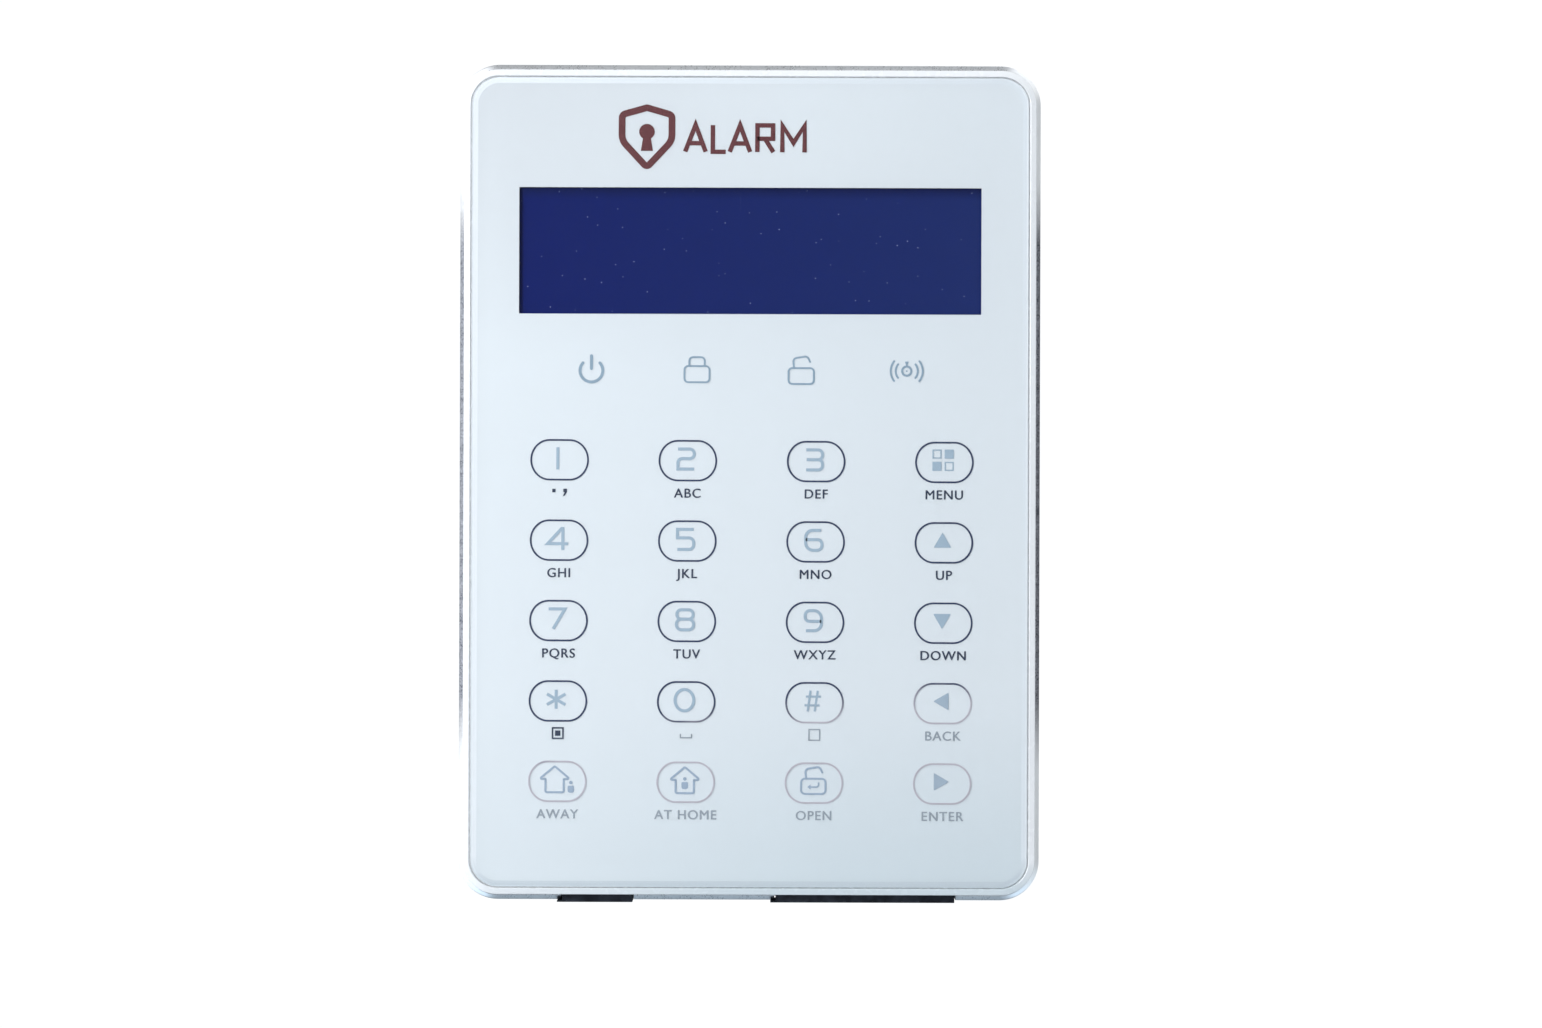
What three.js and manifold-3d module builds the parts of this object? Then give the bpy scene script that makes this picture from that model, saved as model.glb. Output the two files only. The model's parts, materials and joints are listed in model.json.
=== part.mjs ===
// Wall-mounted alarm keypad panel with a glass touch front, in millimetres.
// +Z is up and the glass faces -Y. The wall is the plane y = 0, and the origin
// is the centre of the bracket's wall face. Depths are y values, so the parts
// nearest the viewer have the most negative ones.

import * as THREE from 'three';
import { mergeVertices } from 'three/addons/utils/BufferGeometryUtils.js';
import Module from 'manifold-3d';

const wasm = await Module();
wasm.setup();

// ---- Driving dimensions ----------------------------------------------------

const BAND = { width: 130.6, height: 187.8, radius: 8.9 };
const BAND_WALL = 1.2;
const BAND_FRONT = -24.0;
const BAND_BACK = -6.3;

const FRAME = { width: 128.0, height: 184.6, radius: 7.6 };
const FRAME_FRONT = -27.6;
const FRAME_BACK = -21.0;
const LEDGE_FRONT = -24.0;
const LEDGE_BACK = -22.0;
const LEDGE_INSET = 7.0;

const GLASS = { width: 124.8, height: 181.6, radius: 6.2 };
const GLASS_EDGE = { run: 1.8, drop: 0.8 };
const GLASS_FRONT = -28.0;
const GLASS_BACK = -25.0;

const FILM = { width: 124.2, height: 181.0, radius: 5.9 };
const FILM_FRONT = -24.8;
const FILM_BACK = -24.5;
const WINDOW = { width: 103.8, height: 28.4, z: 52.0 };

const BACK_WALL_INNER = -6.4;
const BACK_WALL_OUTER = -4.6;
const HOUSING_FRONT = -20.7;
const HOUSING_REAR = -0.6;

const BRACKET = { width: 110, height: 158, radius: 5, thickness: 2 };
const LIFT_TRAVEL = 8;
const HOOK = { width: 10, post: 3, tongue: 6, x: 40, zTops: [60, -40] };
const HOOK_TONGUE_BACK = -6.8;
const HOOK_TONGUE_FRONT = -8.3;

const LED_X = [-35.4, -11.7, 11.7, 35.4];
const LED_Z = 25.2;
const TOUCH = { halfWidth: 56, bottom: -80.5, top: 31.8, front: -23.1, back: -21.5 };
const DIFFUSER_FRONT = -24.3;
const DIFFUSER_BACK = -23.2;

const LCD_GLASS = { halfWidth: 54.2, halfHeight: 18.2, front: -23.8, back: -21.6 };
const LCD_BACKLIGHT = { ...LCD_GLASS, front: -21.5, back: -17.4 };
const LCD_BEZEL = { halfWidth: 55.2, halfHeight: 19.2, wall: 0.5 };
const LCD_BOARD = { halfWidth: 60.5, halfHeight: 21, front: -17.0, back: -15.4 };
const LCD_SCREW = { x: 58, dz: 17, post: 2.2, pilot: 1.1, clearance: 1.3 };
const RIBBON = { width: 22, thickness: 0.3, overlap: 6 };

const BOARD = { halfWidth: 51.5, bottom: -88, top: 24, front: -10.6, back: -9.0 };
const BOARD_SCREW = { post: 2.8, pilot: 1.2, clearance: 1.4 };
const BOARD_SCREWS = [[-47.5, 19], [47.5, 19], [-47.5, -74], [47.5, -74]];
const CASE_SCREW = { x: 56, z: 84.5, post: 3.4, pilot: 1.5, clearance: 1.7 };

const CHIP = { x: 14, z: -18, half: 7, height: 1.6, lead: 1.2 };
const CAPACITORS = {
  capacitor_large: { x: -6, z: -66, radius: 5, height: 9 },
  capacitor_small: { x: -18, z: -66, radius: 3.2, height: 7 },
};
const BUZZER = { x: 34, z: 2, radius: 6, height: 8, soundHole: 1.1 };
const HEADER = { pins: 8, pitch: 2.54, z: -46, parting: -13.4, halfWidth: 1.3 };

const POWER_PORT = { x: -34.6, width: 17.0 };
const TERMINAL_PORT = { x: 25.6, width: 41.4 };
const COVER = { front: -24.0, hingeY: -11.0, outer: -94.45, thickness: 1.9 };
const TERMINALS = { count: 8, pitch: 5.08, bottom: -89.9, top: -79.5, front: -20.2 };
const TERMINAL_SCREW = { y: -17.6, radius: 1.6, well: 1.9, depth: 5 };
const WIRE_ENTRY = { y: -13.2, halfWidth: 1.6, halfHeight: 1.4, depth: 7 };
const JACK = { halfWidth: 4.6, front: -19.8, length: 14, axisY: -15.2, bore: 3.1, pin: 1.0 };

const TAMPER = { x: -20, z: 10, boreRadius: 3.6, half: 5, floor: -18.0, shoulder: -12.4 };
const TAMPER_COIL = { radius: 2.2, wire: 0.3, turns: 4 };
const CABLE_ENTRY = { x: 0, z: 50, holeRadius: 8.0 };
const GROMMET = { bore: 5.0, lip: 1.6, flange: 1.0, gap: 0.1 };

const CABLE_OPENING = { halfWidth: 25, bottom: 30, top: 74 };
const WALL_SCREW_SLOT = { x: 44, z: 70, halfWidth: 2.3, halfHeight: 4 };
const KEYHOLE = { z: -62, head: 4.5, neck: 2.3, neckTop: -52 };

const CORNER_STEPS = 8;
const FILLET_STEPS = 4;
const SMALLEST_CORNER = 0.3;
// How far a cutting tool reaches past the face that it opens.
const OVERCUT = 1;

// ---- Materials --------------------------------------------------------------

function material(color, roughness, metalness = 0) {
  return new THREE.MeshStandardMaterial({ color, roughness, metalness });
}

const clearGlass = () => material('#dfe9ef', 0.05);
const whiteLacquer = () => material('#dbe6ee', 0.5);
const blackFoam = () => material('#24262a', 0.95);
const glossWhite = () => material('#f3f5f7', 0.25);
const satinWhite = () => material('#e8eaec', 0.5);
const brushedAluminium = () => material('#a9aeb6', 0.35, 1);
const blackRubber = () => material('#1b1e23', 0.85);
const blackPlastic = () => material('#1d1f22', 0.5);
const displayBlue = () => material('#1b2158', 0.12);
const milkyAcrylic = () => material('#f4f6f4', 0.4);
const tinPlate = () => material('#b9bcc0', 0.4, 1);
const circuitGreen = () => material('#1f5a36', 0.45);
const polyimide = () => material('#b8792a', 0.4);
const sleeveBlue = () => material('#27408a', 0.4);
const terminalGreen = () => material('#2c8a4b', 0.5);
const zincSteel = () => material('#b4b7bb', 0.35, 1);
const springSteel = () => material('#8f949b', 0.3, 1);
const galvanisedSteel = () => material('#c3c7cb', 0.45, 1);
const ledWhite = () => material('#f1efdc', 0.3);

// ---- Outlines in X and Z, counter-clockwise seen from the front ------------

function roundedOutline({ width, height, radius }, inset = 0) {
  const corner = Math.max(radius - inset, SMALLEST_CORNER);
  const cx = width / 2 - inset - corner;
  const cz = height / 2 - inset - corner;
  const centres = [[cx, cz], [-cx, cz], [-cx, -cz], [cx, -cz]];
  const points = [];
  centres.forEach(([x, z], quarter) => {
    for (let step = 0; step <= CORNER_STEPS; step += 1) {
      const angle = (quarter + step / CORNER_STEPS) * Math.PI / 2;
      points.push([x + corner * Math.cos(angle), z + corner * Math.sin(angle)]);
    }
  });
  return points;
}

function circleOutline(radius, segments) {
  return Array.from({ length: segments }, (_, index) => {
    const angle = (index + 0.5) * 2 * Math.PI / segments;
    return [radius * Math.cos(angle), radius * Math.sin(angle)];
  });
}

// ---- Solids -----------------------------------------------------------------

// Joins outlines of equal length placed at given depths. Capped at both ends,
// or closed on itself as a ring when `ring` is set.
function loft(sections, ring = false) {
  const count = sections[0].outline.length;
  const positions = sections.flatMap(({ outline, y }) => outline.flatMap(([x, z]) => [x, y, z]));
  const faces = [];
  const walls = ring ? sections.length : sections.length - 1;
  for (let level = 0; level < walls; level += 1) {
    const near = level * count;
    const far = ((level + 1) % sections.length) * count;
    for (let index = 0; index < count; index += 1) {
      const next = (index + 1) % count;
      faces.push([near + index, far + index, far + next]);
      faces.push([near + index, far + next, near + next]);
    }
  }
  if (!ring) {
    const last = (sections.length - 1) * count;
    for (let index = 1; index < count - 1; index += 1) {
      faces.push([0, index, index + 1]);
      faces.push([last, last + index + 1, last + index]);
    }
  }
  return outwardGeometry(positions, faces);
}

// Turns every face round if the body came out inside out.
function outwardGeometry(positions, faces) {
  const corner = (index) => new THREE.Vector3().fromArray(positions, index * 3);
  const volume = faces.reduce((sum, [a, b, c]) => (
    sum + corner(a).dot(corner(b).cross(corner(c)))), 0);
  const ordered = volume < 0 ? faces.map(([a, b, c]) => [a, c, b]) : faces;
  const geometry = new THREE.BufferGeometry();
  geometry.setAttribute('position', new THREE.Float32BufferAttribute(positions, 3));
  geometry.setIndex(ordered.flat());
  return geometry;
}

// Points of a quarter ellipse from the front face to the side, as [inset, y].
function frontFillet(run, drop, front) {
  return Array.from({ length: FILLET_STEPS + 1 }, (_, step) => {
    const angle = step / FILLET_STEPS * Math.PI / 2;
    return [run * (1 - Math.sin(angle)), front + drop * (1 - Math.cos(angle))];
  });
}

// The same from the side to the back face.
function backFillet(run, drop, back) {
  return frontFillet(run, -drop, back).reverse();
}

// A profile of [inset, y] pairs carried round a rounded rectangle.
function framed(base, profile, ring = false) {
  return loft(profile.map(([inset, y]) => ({ outline: roundedOutline(base, inset), y })), ring);
}

// A profile of [radius, y] pairs turned about the Y axis.
function turned(profile, segments, ring = false) {
  return loft(profile.map(([radius, y]) => ({ outline: circleOutline(radius, segments), y })), ring);
}

function block([x0, x1], [y0, y1], [z0, z1]) {
  const geometry = new THREE.BoxGeometry(x1 - x0, y1 - y0, z1 - z0);
  return geometry.translate((x0 + x1) / 2, (y0 + y1) / 2, (z0 + z1) / 2);
}

// A cylinder along Y, centred on x and z.
function rod(radius, [y0, y1], x = 0, z = 0, segments = 16) {
  return turned([[radius, y0], [radius, y1]], segments).translate(x, 0, z);
}

// A cylinder along Z, centred on x and y.
function uprightRod(radius, [z0, z1], x, y, segments = 12) {
  return rod(radius, [z0, z1], 0, 0, segments).rotateX(Math.PI / 2).translate(x, y, 0);
}

// A closed outline of [y, z] points carried along X, centred on x = 0.
function extrudedAlongX(points, width) {
  const shape = new THREE.Shape(points.map(([y, z]) => new THREE.Vector2(y, z)));
  const geometry = new THREE.ExtrudeGeometry(shape, { depth: width, bevelEnabled: false });
  const toFrame = new THREE.Matrix4().makeBasis(
    new THREE.Vector3(0, 1, 0),
    new THREE.Vector3(0, 0, 1),
    new THREE.Vector3(1, 0, 0),
  );
  return geometry.applyMatrix4(toFrame).translate(-width / 2, 0, 0);
}

// ---- Booleans ---------------------------------------------------------------

function toManifold(geometry) {
  const bare = new THREE.BufferGeometry();
  bare.setAttribute('position', geometry.getAttribute('position'));
  bare.setIndex(geometry.index);
  const merged = mergeVertices(bare, 1e-4);
  return new wasm.Manifold(new wasm.Mesh({
    numProp: 3,
    vertProperties: Float32Array.from(merged.getAttribute('position').array),
    triVerts: Uint32Array.from(merged.index.array),
  }));
}

// The base with every geometry in `added` joined on and every one in `cut` removed.
function carved(base, { added = [], cut = [] }) {
  const joined = added.reduce((solid, piece) => solid.add(toManifold(piece)), toManifold(base));
  const result = cut.reduce((solid, tool) => solid.subtract(toManifold(tool)), joined);
  const mesh = result.getMesh();
  const geometry = new THREE.BufferGeometry();
  geometry.setAttribute('position', new THREE.Float32BufferAttribute(mesh.vertProperties, 3));
  geometry.setIndex(Array.from(mesh.triVerts));
  return geometry;
}

function part(name, geometry, surface) {
  const flat = geometry.index ? geometry.toNonIndexed() : geometry;
  flat.computeVertexNormals();
  const mesh = new THREE.Mesh(flat, surface);
  mesh.name = name;
  return mesh;
}

function group(name, children) {
  const node = new THREE.Group();
  node.name = name;
  node.add(...children);
  return node;
}

// ---- Glass front ------------------------------------------------------------

function glassPanel() {
  const profile = [...frontFillet(GLASS_EDGE.run, GLASS_EDGE.drop, GLASS_FRONT), [0, GLASS_BACK]];
  return part('glass_panel', framed(GLASS, profile), clearGlass());
}

function windowOpening(margin, [front, back]) {
  const halfWidth = WINDOW.width / 2 + margin;
  const halfHeight = WINDOW.height / 2 + margin;
  return block(
    [-halfWidth, halfWidth],
    [front, back],
    [WINDOW.z - halfHeight, WINDOW.z + halfHeight],
  );
}

function printFilm() {
  const sheet = framed(FILM, [[0, FILM_FRONT], [0, FILM_BACK]]);
  const opening = windowOpening(0, [FILM_FRONT - OVERCUT, FILM_BACK + OVERCUT]);
  return part('print_film', carved(sheet, { cut: [opening] }), whiteLacquer());
}

function glassTape() {
  const outerInset = 0.4;
  const innerInset = 3.9;
  const profile = [
    [outerInset, FILM_BACK],
    [outerInset, LEDGE_FRONT],
    [innerInset, LEDGE_FRONT],
    [innerInset, FILM_BACK],
  ];
  return part('glass_tape', framed(FILM, profile, true), blackFoam());
}

// ---- Frame, band and housing ------------------------------------------------

function mirrored(x, z) {
  return [[x, z], [-x, z], [-x, -z], [x, -z]];
}

function frontFrame() {
  const skirt = 1.6;
  const rim = 1.3;
  const rimBevel = 0.2;
  const edgeRound = 0.9;
  const ring = framed(FRAME, [
    ...frontFillet(edgeRound, edgeRound, FRAME_FRONT),
    [0, FRAME_BACK],
    [skirt, FRAME_BACK],
    [skirt, LEDGE_BACK],
    [LEDGE_INSET, LEDGE_BACK],
    [LEDGE_INSET, LEDGE_FRONT],
    [rim, LEDGE_FRONT],
    [rim, FRAME_FRONT + rimBevel],
    [rim - rimBevel, FRAME_FRONT],
  ], true);
  const rooted = LEDGE_BACK - 0.6;
  const casePosts = mirrored(CASE_SCREW.x, CASE_SCREW.z);
  const lcdPosts = mirrored(LCD_SCREW.x, LCD_SCREW.dz).map(([x, dz]) => [x, WINDOW.z + dz]);
  const postEnd = BACK_WALL_INNER - 0.2;
  const lcdEnd = LCD_BOARD.front;
  const casePilot = [postEnd - 9, postEnd + OVERCUT];
  const lcdPilot = [lcdEnd - 4, lcdEnd + OVERCUT];
  return part('front_frame', carved(ring, {
    added: [
      ...casePosts.map(([x, z]) => rod(CASE_SCREW.post, [rooted, postEnd], x, z)),
      ...lcdPosts.map(([x, z]) => rod(LCD_SCREW.post, [rooted, lcdEnd], x, z, 12)),
    ],
    cut: [
      ...casePosts.map(([x, z]) => rod(CASE_SCREW.pilot, casePilot, x, z, 10)),
      ...lcdPosts.map(([x, z]) => rod(LCD_SCREW.pilot, lcdPilot, x, z, 8)),
    ],
  }), glossWhite());
}

function portSpan({ x, width }, clearance) {
  return [x - width / 2 - clearance, x + width / 2 + clearance];
}

function sideBand() {
  const backRound = 0.5;
  const ring = framed(BAND, [
    ...frontFillet(0.8, 0.9, BAND_FRONT),
    ...backFillet(backRound, backRound, BAND_BACK),
    [BAND_WALL, BAND_BACK],
    [BAND_WALL, BAND_FRONT],
  ], true);
  const coverGap = 0.3;
  const hingeRoom = 1.4;
  const edge = -BAND.height / 2;
  const notch = (port) => block(
    portSpan(port, coverGap),
    [BAND_FRONT - OVERCUT, COVER.hingeY + hingeRoom],
    [edge - OVERCUT, edge + BAND_WALL + OVERCUT],
  );
  return part(
    'side_band',
    carved(ring, { cut: [notch(POWER_PORT), notch(TERMINAL_PORT)] }),
    brushedAluminium(),
  );
}

// Slot that lets the hook's tongue through when the panel is lifted.
function hookSlot(x, zTop) {
  const sideGap = 0.6;
  const halfWidth = HOOK.width / 2 + sideGap;
  const top = zTop + 0.1;
  return block(
    [x - halfWidth, x + halfWidth],
    [BACK_WALL_INNER - OVERCUT, BACK_WALL_OUTER + OVERCUT],
    [top - HOOK.post - LIFT_TRAVEL - sideGap, top],
  );
}

function hookPlaces() {
  return HOOK.zTops.flatMap((zTop) => [[-HOOK.x, zTop], [HOOK.x, zTop]]);
}

function portDoorway(port) {
  const rebate = 0.6;
  const depth = 6;
  return block(
    portSpan(port, -rebate),
    [HOUSING_FRONT - OVERCUT, COVER.hingeY + 0.2],
    [-BAND.height / 2, -BAND.height / 2 + depth],
  );
}

// A tray with a hollow foot behind its back wall, a shoulder that the side band
// sits on, and walls that stand inside the band.
function rearHousing() {
  const wallOuter = 1.6;
  const wallInner = 3.4;
  const shoulder = BAND_BACK + 0.2;
  const flush = 0.3;
  const shell = framed(BAND, [
    [5.0, BACK_WALL_OUTER],
    [4.2, HOUSING_REAR],
    [2.2, HOUSING_REAR],
    [0.6, HOUSING_REAR - 1.8],
    [flush, HOUSING_REAR - 2.8],
    [flush, shoulder],
    [wallOuter, shoulder],
    [wallOuter, HOUSING_FRONT],
    [wallInner, HOUSING_FRONT],
    [wallInner, BACK_WALL_INNER],
  ]);
  const throughWall = [BACK_WALL_INNER - OVERCUT, BACK_WALL_OUTER + OVERCUT];
  const boardPost = [BOARD.back, BACK_WALL_INNER + 0.4];
  const boardPilot = [BOARD.back - OVERCUT, BACK_WALL_OUTER - 0.8];
  return part('rear_housing', carved(shell, {
    added: BOARD_SCREWS.map(([x, z]) => rod(BOARD_SCREW.post, boardPost, x, z, 12)),
    cut: [
      ...hookPlaces().map(([x, zTop]) => hookSlot(x, zTop)),
      ...mirrored(CASE_SCREW.x, CASE_SCREW.z).map(([x, z]) => (
        rod(CASE_SCREW.clearance, throughWall, x, z, 10))),
      ...BOARD_SCREWS.map(([x, z]) => rod(BOARD_SCREW.pilot, boardPilot, x, z, 8)),
      rod(CABLE_ENTRY.holeRadius, throughWall, CABLE_ENTRY.x, CABLE_ENTRY.z, 20),
      rod(TAMPER.boreRadius, throughWall, TAMPER.x, TAMPER.z, 14),
      portDoorway(POWER_PORT),
      portDoorway(TERMINAL_PORT),
    ],
  }), satinWhite());
}

// The lid over a port: a strip rounded at its hinge edge, with a rib that
// seats in the doorway.
function portCover(name, { x, width }) {
  const radius = COVER.thickness / 2;
  const hingeZ = COVER.outer + radius;
  const inner = COVER.outer + COVER.thickness;
  const arcSteps = 6;
  const hingeArc = Array.from({ length: arcSteps + 1 }, (_, step) => {
    const angle = (step / arcSteps - 0.5) * Math.PI;
    return [COVER.hingeY + radius * Math.cos(angle), hingeZ + radius * Math.sin(angle)];
  });
  const bevel = 0.4;
  const strip = extrudedAlongX([
    [COVER.front + bevel, COVER.outer],
    ...hingeArc,
    [COVER.front, inner],
    [COVER.front, COVER.outer + bevel],
  ], width);
  const ribWall = 1.2;
  const ribTop = inner + 1.4;
  const ribHalf = width / 2 - 1.2;
  const ribFront = -20.0;
  const ribBack = COVER.hingeY - 1.4;
  const rib = block([-ribHalf, ribHalf], [ribFront, ribBack], [inner - 0.5, ribTop]);
  const relief = block(
    [-ribHalf + ribWall, ribHalf - ribWall],
    [ribFront + ribWall, ribBack - ribWall],
    [inner, ribTop + OVERCUT],
  );
  const lid = part(name, carved(strip, { added: [rib], cut: [relief] }), blackRubber());
  lid.position.x = x;
  return lid;
}

// ---- Screws -----------------------------------------------------------------

// A cross-head screw along Y. Its head starts at y = 0 and grows towards +Y;
// the shank runs towards -Y.
function screw(name, { head, headHeight, shank, length }, [x, y, z], reversed = false) {
  const body = turned([
    [shank * 0.6, -length],
    [shank, -length + shank],
    [shank, 0],
    [head, 0],
    [head, headHeight * 0.55],
    [head * 0.7, headHeight],
  ], 12);
  const slotHalf = head * 0.13;
  const slotLong = head * 0.5;
  const depth = [headHeight * 0.4, headHeight + 1];
  const bars = [
    block([-slotLong, slotLong], depth, [-slotHalf, slotHalf]),
    block([-slotHalf, slotHalf], depth, [-slotLong, slotLong]),
  ];
  const fastener = part(name, carved(body, { cut: bars }), zincSteel());
  fastener.position.set(x, y, z);
  fastener.rotation.x = reversed ? Math.PI : 0;
  return fastener;
}

function caseScrews() {
  const size = { head: 2.7, headHeight: 1.7, shank: 1.3, length: 9 };
  return mirrored(CASE_SCREW.x, CASE_SCREW.z).map(([x, z], index) => (
    screw(`case_screw_${index + 1}`, size, [x, BACK_WALL_OUTER, z])));
}

function lcdScrews() {
  const size = { head: 1.9, headHeight: 1.2, shank: 0.9, length: 4.6 };
  return mirrored(LCD_SCREW.x, LCD_SCREW.dz).map(([x, dz], index) => (
    screw(`lcd_screw_${index + 1}`, size, [x, LCD_BOARD.back, WINDOW.z + dz])));
}

function boardScrews() {
  const size = { head: 2.2, headHeight: 1.4, shank: 1.0, length: 4.6 };
  return BOARD_SCREWS.map(([x, z], index) => (
    screw(`board_screw_${index + 1}`, size, [x, BOARD.front, z], true)));
}

// ---- Touch sensing and icon lamps -------------------------------------------

function touchSheet(margin, [front, back]) {
  const half = TOUCH.halfWidth - margin;
  return block([-half, half], [front, back], [TOUCH.bottom + margin, TOUCH.top - margin]);
}

function touchBoard() {
  return part('touch_board', touchSheet(0, [TOUCH.front, TOUCH.back]), circuitGreen());
}

function keyDiffuser() {
  const wells = LED_X.map((x) => (
    block([x - 2.4, x + 2.4], [DIFFUSER_FRONT - 1, DIFFUSER_BACK + 1], [LED_Z - 1.9, LED_Z + 1.9])));
  const sheet = touchSheet(1, [DIFFUSER_FRONT, DIFFUSER_BACK]);
  return part('key_diffuser', carved(sheet, { cut: wells }), milkyAcrylic());
}

function statusLeds() {
  return LED_X.map((x, index) => {
    const base = block([-1.5, 1.5], [TOUCH.front - 0.5, TOUCH.front], [-1.0, 1.0]);
    const dome = rod(0.8, [TOUCH.front - 0.8, TOUCH.front - 0.3], 0, 0, 10);
    const lamp = part(`status_led_${index + 1}`, carved(base, { added: [dome] }), ledWhite());
    lamp.position.set(x, 0, LED_Z);
    return lamp;
  });
}

// ---- Display module ---------------------------------------------------------

function centredOnWindow(halfWidth, halfHeight, depth) {
  return block([-halfWidth, halfWidth], depth, [WINDOW.z - halfHeight, WINDOW.z + halfHeight]);
}

function lcdBezel() {
  const { halfWidth, halfHeight, wall } = LCD_BEZEL;
  const front = FILM_BACK + 0.1;
  const shell = centredOnWindow(halfWidth, halfHeight, [front, LCD_BOARD.front]);
  const cavity = centredOnWindow(
    halfWidth - wall,
    halfHeight - wall,
    [front + wall, LCD_BOARD.front + OVERCUT],
  );
  const opening = windowOpening(0.8, [front - OVERCUT, front + wall + OVERCUT]);
  return part('lcd_bezel', carved(shell, { cut: [cavity, opening] }), tinPlate());
}

function lcdSheet({ halfWidth, halfHeight, front, back }) {
  return centredOnWindow(halfWidth, halfHeight, [front, back]);
}

function lcdGlass() {
  return part('lcd_glass', lcdSheet(LCD_GLASS), displayBlue());
}

function lcdBacklight() {
  return part('lcd_backlight', lcdSheet(LCD_BACKLIGHT), milkyAcrylic());
}

function lcdBoard() {
  const through = [LCD_BOARD.front - OVERCUT, LCD_BOARD.back + OVERCUT];
  const holes = mirrored(LCD_SCREW.x, LCD_SCREW.dz).map(([x, dz]) => (
    rod(LCD_SCREW.clearance, through, x, WINDOW.z + dz, 8)));
  return part('lcd_board', carved(lcdSheet(LCD_BOARD), { cut: holes }), circuitGreen());
}

function lcdRibbon() {
  const { width, thickness, overlap } = RIBBON;
  const onLcd = LCD_BOARD.back + 0.05;
  const onMain = BOARD.front - 0.05;
  const lcdBottom = WINDOW.z - LCD_BOARD.halfHeight;
  const path = [
    [onLcd, lcdBottom + overlap],
    [onLcd, lcdBottom - 0.5],
    [onMain - thickness, BOARD.top + 0.5],
    [onMain - thickness, BOARD.top - overlap],
  ];
  const back = path.map(([y, z]) => [y + thickness, z]).reverse();
  return part('lcd_ribbon', extrudedAlongX([...path, ...back], width), polyimide());
}

// ---- Main board -------------------------------------------------------------

function mainBoard() {
  const { halfWidth, bottom, top, front, back } = BOARD;
  const sheet = block([-halfWidth, halfWidth], [front, back], [bottom, top]);
  const through = [front - OVERCUT, back + OVERCUT];
  return part('main_board', carved(sheet, {
    cut: [
      ...BOARD_SCREWS.map(([x, z]) => rod(BOARD_SCREW.clearance, through, x, z, 8)),
      rod(TAMPER.boreRadius, through, TAMPER.x, TAMPER.z, 14),
    ],
  }), circuitGreen());
}

function microcontroller() {
  const { x, z, half, height, lead } = CHIP;
  const body = block([-half, half], [BOARD.front - height, BOARD.front - 0.2], [-half, half]);
  const reach = [-half - lead, half + lead];
  const row = [-half + 1, half - 1];
  const footDepth = [BOARD.front - 0.6, BOARD.front];
  const feet = [block(reach, footDepth, row), block(row, footDepth, reach)];
  const chip = part('microcontroller', carved(body, { added: feet }), blackPlastic());
  chip.position.set(x, 0, z);
  return chip;
}

// An electrolytic can with the groove that is rolled in above its seal.
function capacitor([name, { x, z, radius, height }]) {
  const chamfer = 0.5;
  const groove = { depth: 0.4, middle: 1.4, half: 0.4 };
  const can = turned([
    [radius - chamfer, BOARD.front - height],
    [radius, BOARD.front - height + chamfer],
    [radius, BOARD.front - groove.middle - groove.half],
    [radius - groove.depth, BOARD.front - groove.middle],
    [radius, BOARD.front - groove.middle + groove.half],
    [radius, BOARD.front],
  ], 16);
  const body = part(name, can, sleeveBlue());
  body.position.set(x, 0, z);
  return body;
}

function buzzer() {
  const { x, z, radius, height } = BUZZER;
  const chamfer = 0.4;
  const front = BOARD.front - height;
  const can = turned([[radius - chamfer, front], [radius, front + chamfer], [radius, BOARD.front]], 20);
  const soundHole = rod(BUZZER.soundHole, [front - OVERCUT, front + 3], 0, 0, 10);
  const body = part('buzzer', carved(can, { cut: [soundHole] }), blackPlastic());
  body.position.set(x, 0, z);
  return body;
}

// The header and socket are the mating pair that joins the two boards.
function headerPins(half, depth) {
  const first = -(HEADER.pins - 1) / 2;
  return Array.from({ length: HEADER.pins }, (_, index) => {
    const x = (first + index) * HEADER.pitch;
    return block([x - half, x + half], depth, [-half, half]);
  });
}

function headerBody(depth) {
  const halfLength = HEADER.pins * HEADER.pitch / 2;
  return block([-halfLength, halfLength], depth, [-HEADER.halfWidth, HEADER.halfWidth]);
}

function boardHeader() {
  const base = headerBody([HEADER.parting + 0.3, BOARD.front]);
  const pins = headerPins(0.32, [HEADER.parting - 5, HEADER.parting + 0.6]);
  const header = part('board_header', carved(base, { added: pins }), blackPlastic());
  header.position.z = HEADER.z;
  return header;
}

function boardSocket() {
  const base = headerBody([TOUCH.back, HEADER.parting]);
  const holes = headerPins(0.5, [HEADER.parting - 5.6, HEADER.parting + OVERCUT]);
  const socket = part('board_socket', carved(base, { cut: holes }), blackPlastic());
  socket.position.z = HEADER.z;
  return socket;
}

// ---- Wiring terminals and power ---------------------------------------------

function terminalX(index) {
  return TERMINAL_PORT.x + (index - (TERMINALS.count - 1) / 2) * TERMINALS.pitch;
}

function terminalIndexes() {
  return Array.from({ length: TERMINALS.count }, (_, index) => index);
}

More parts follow.
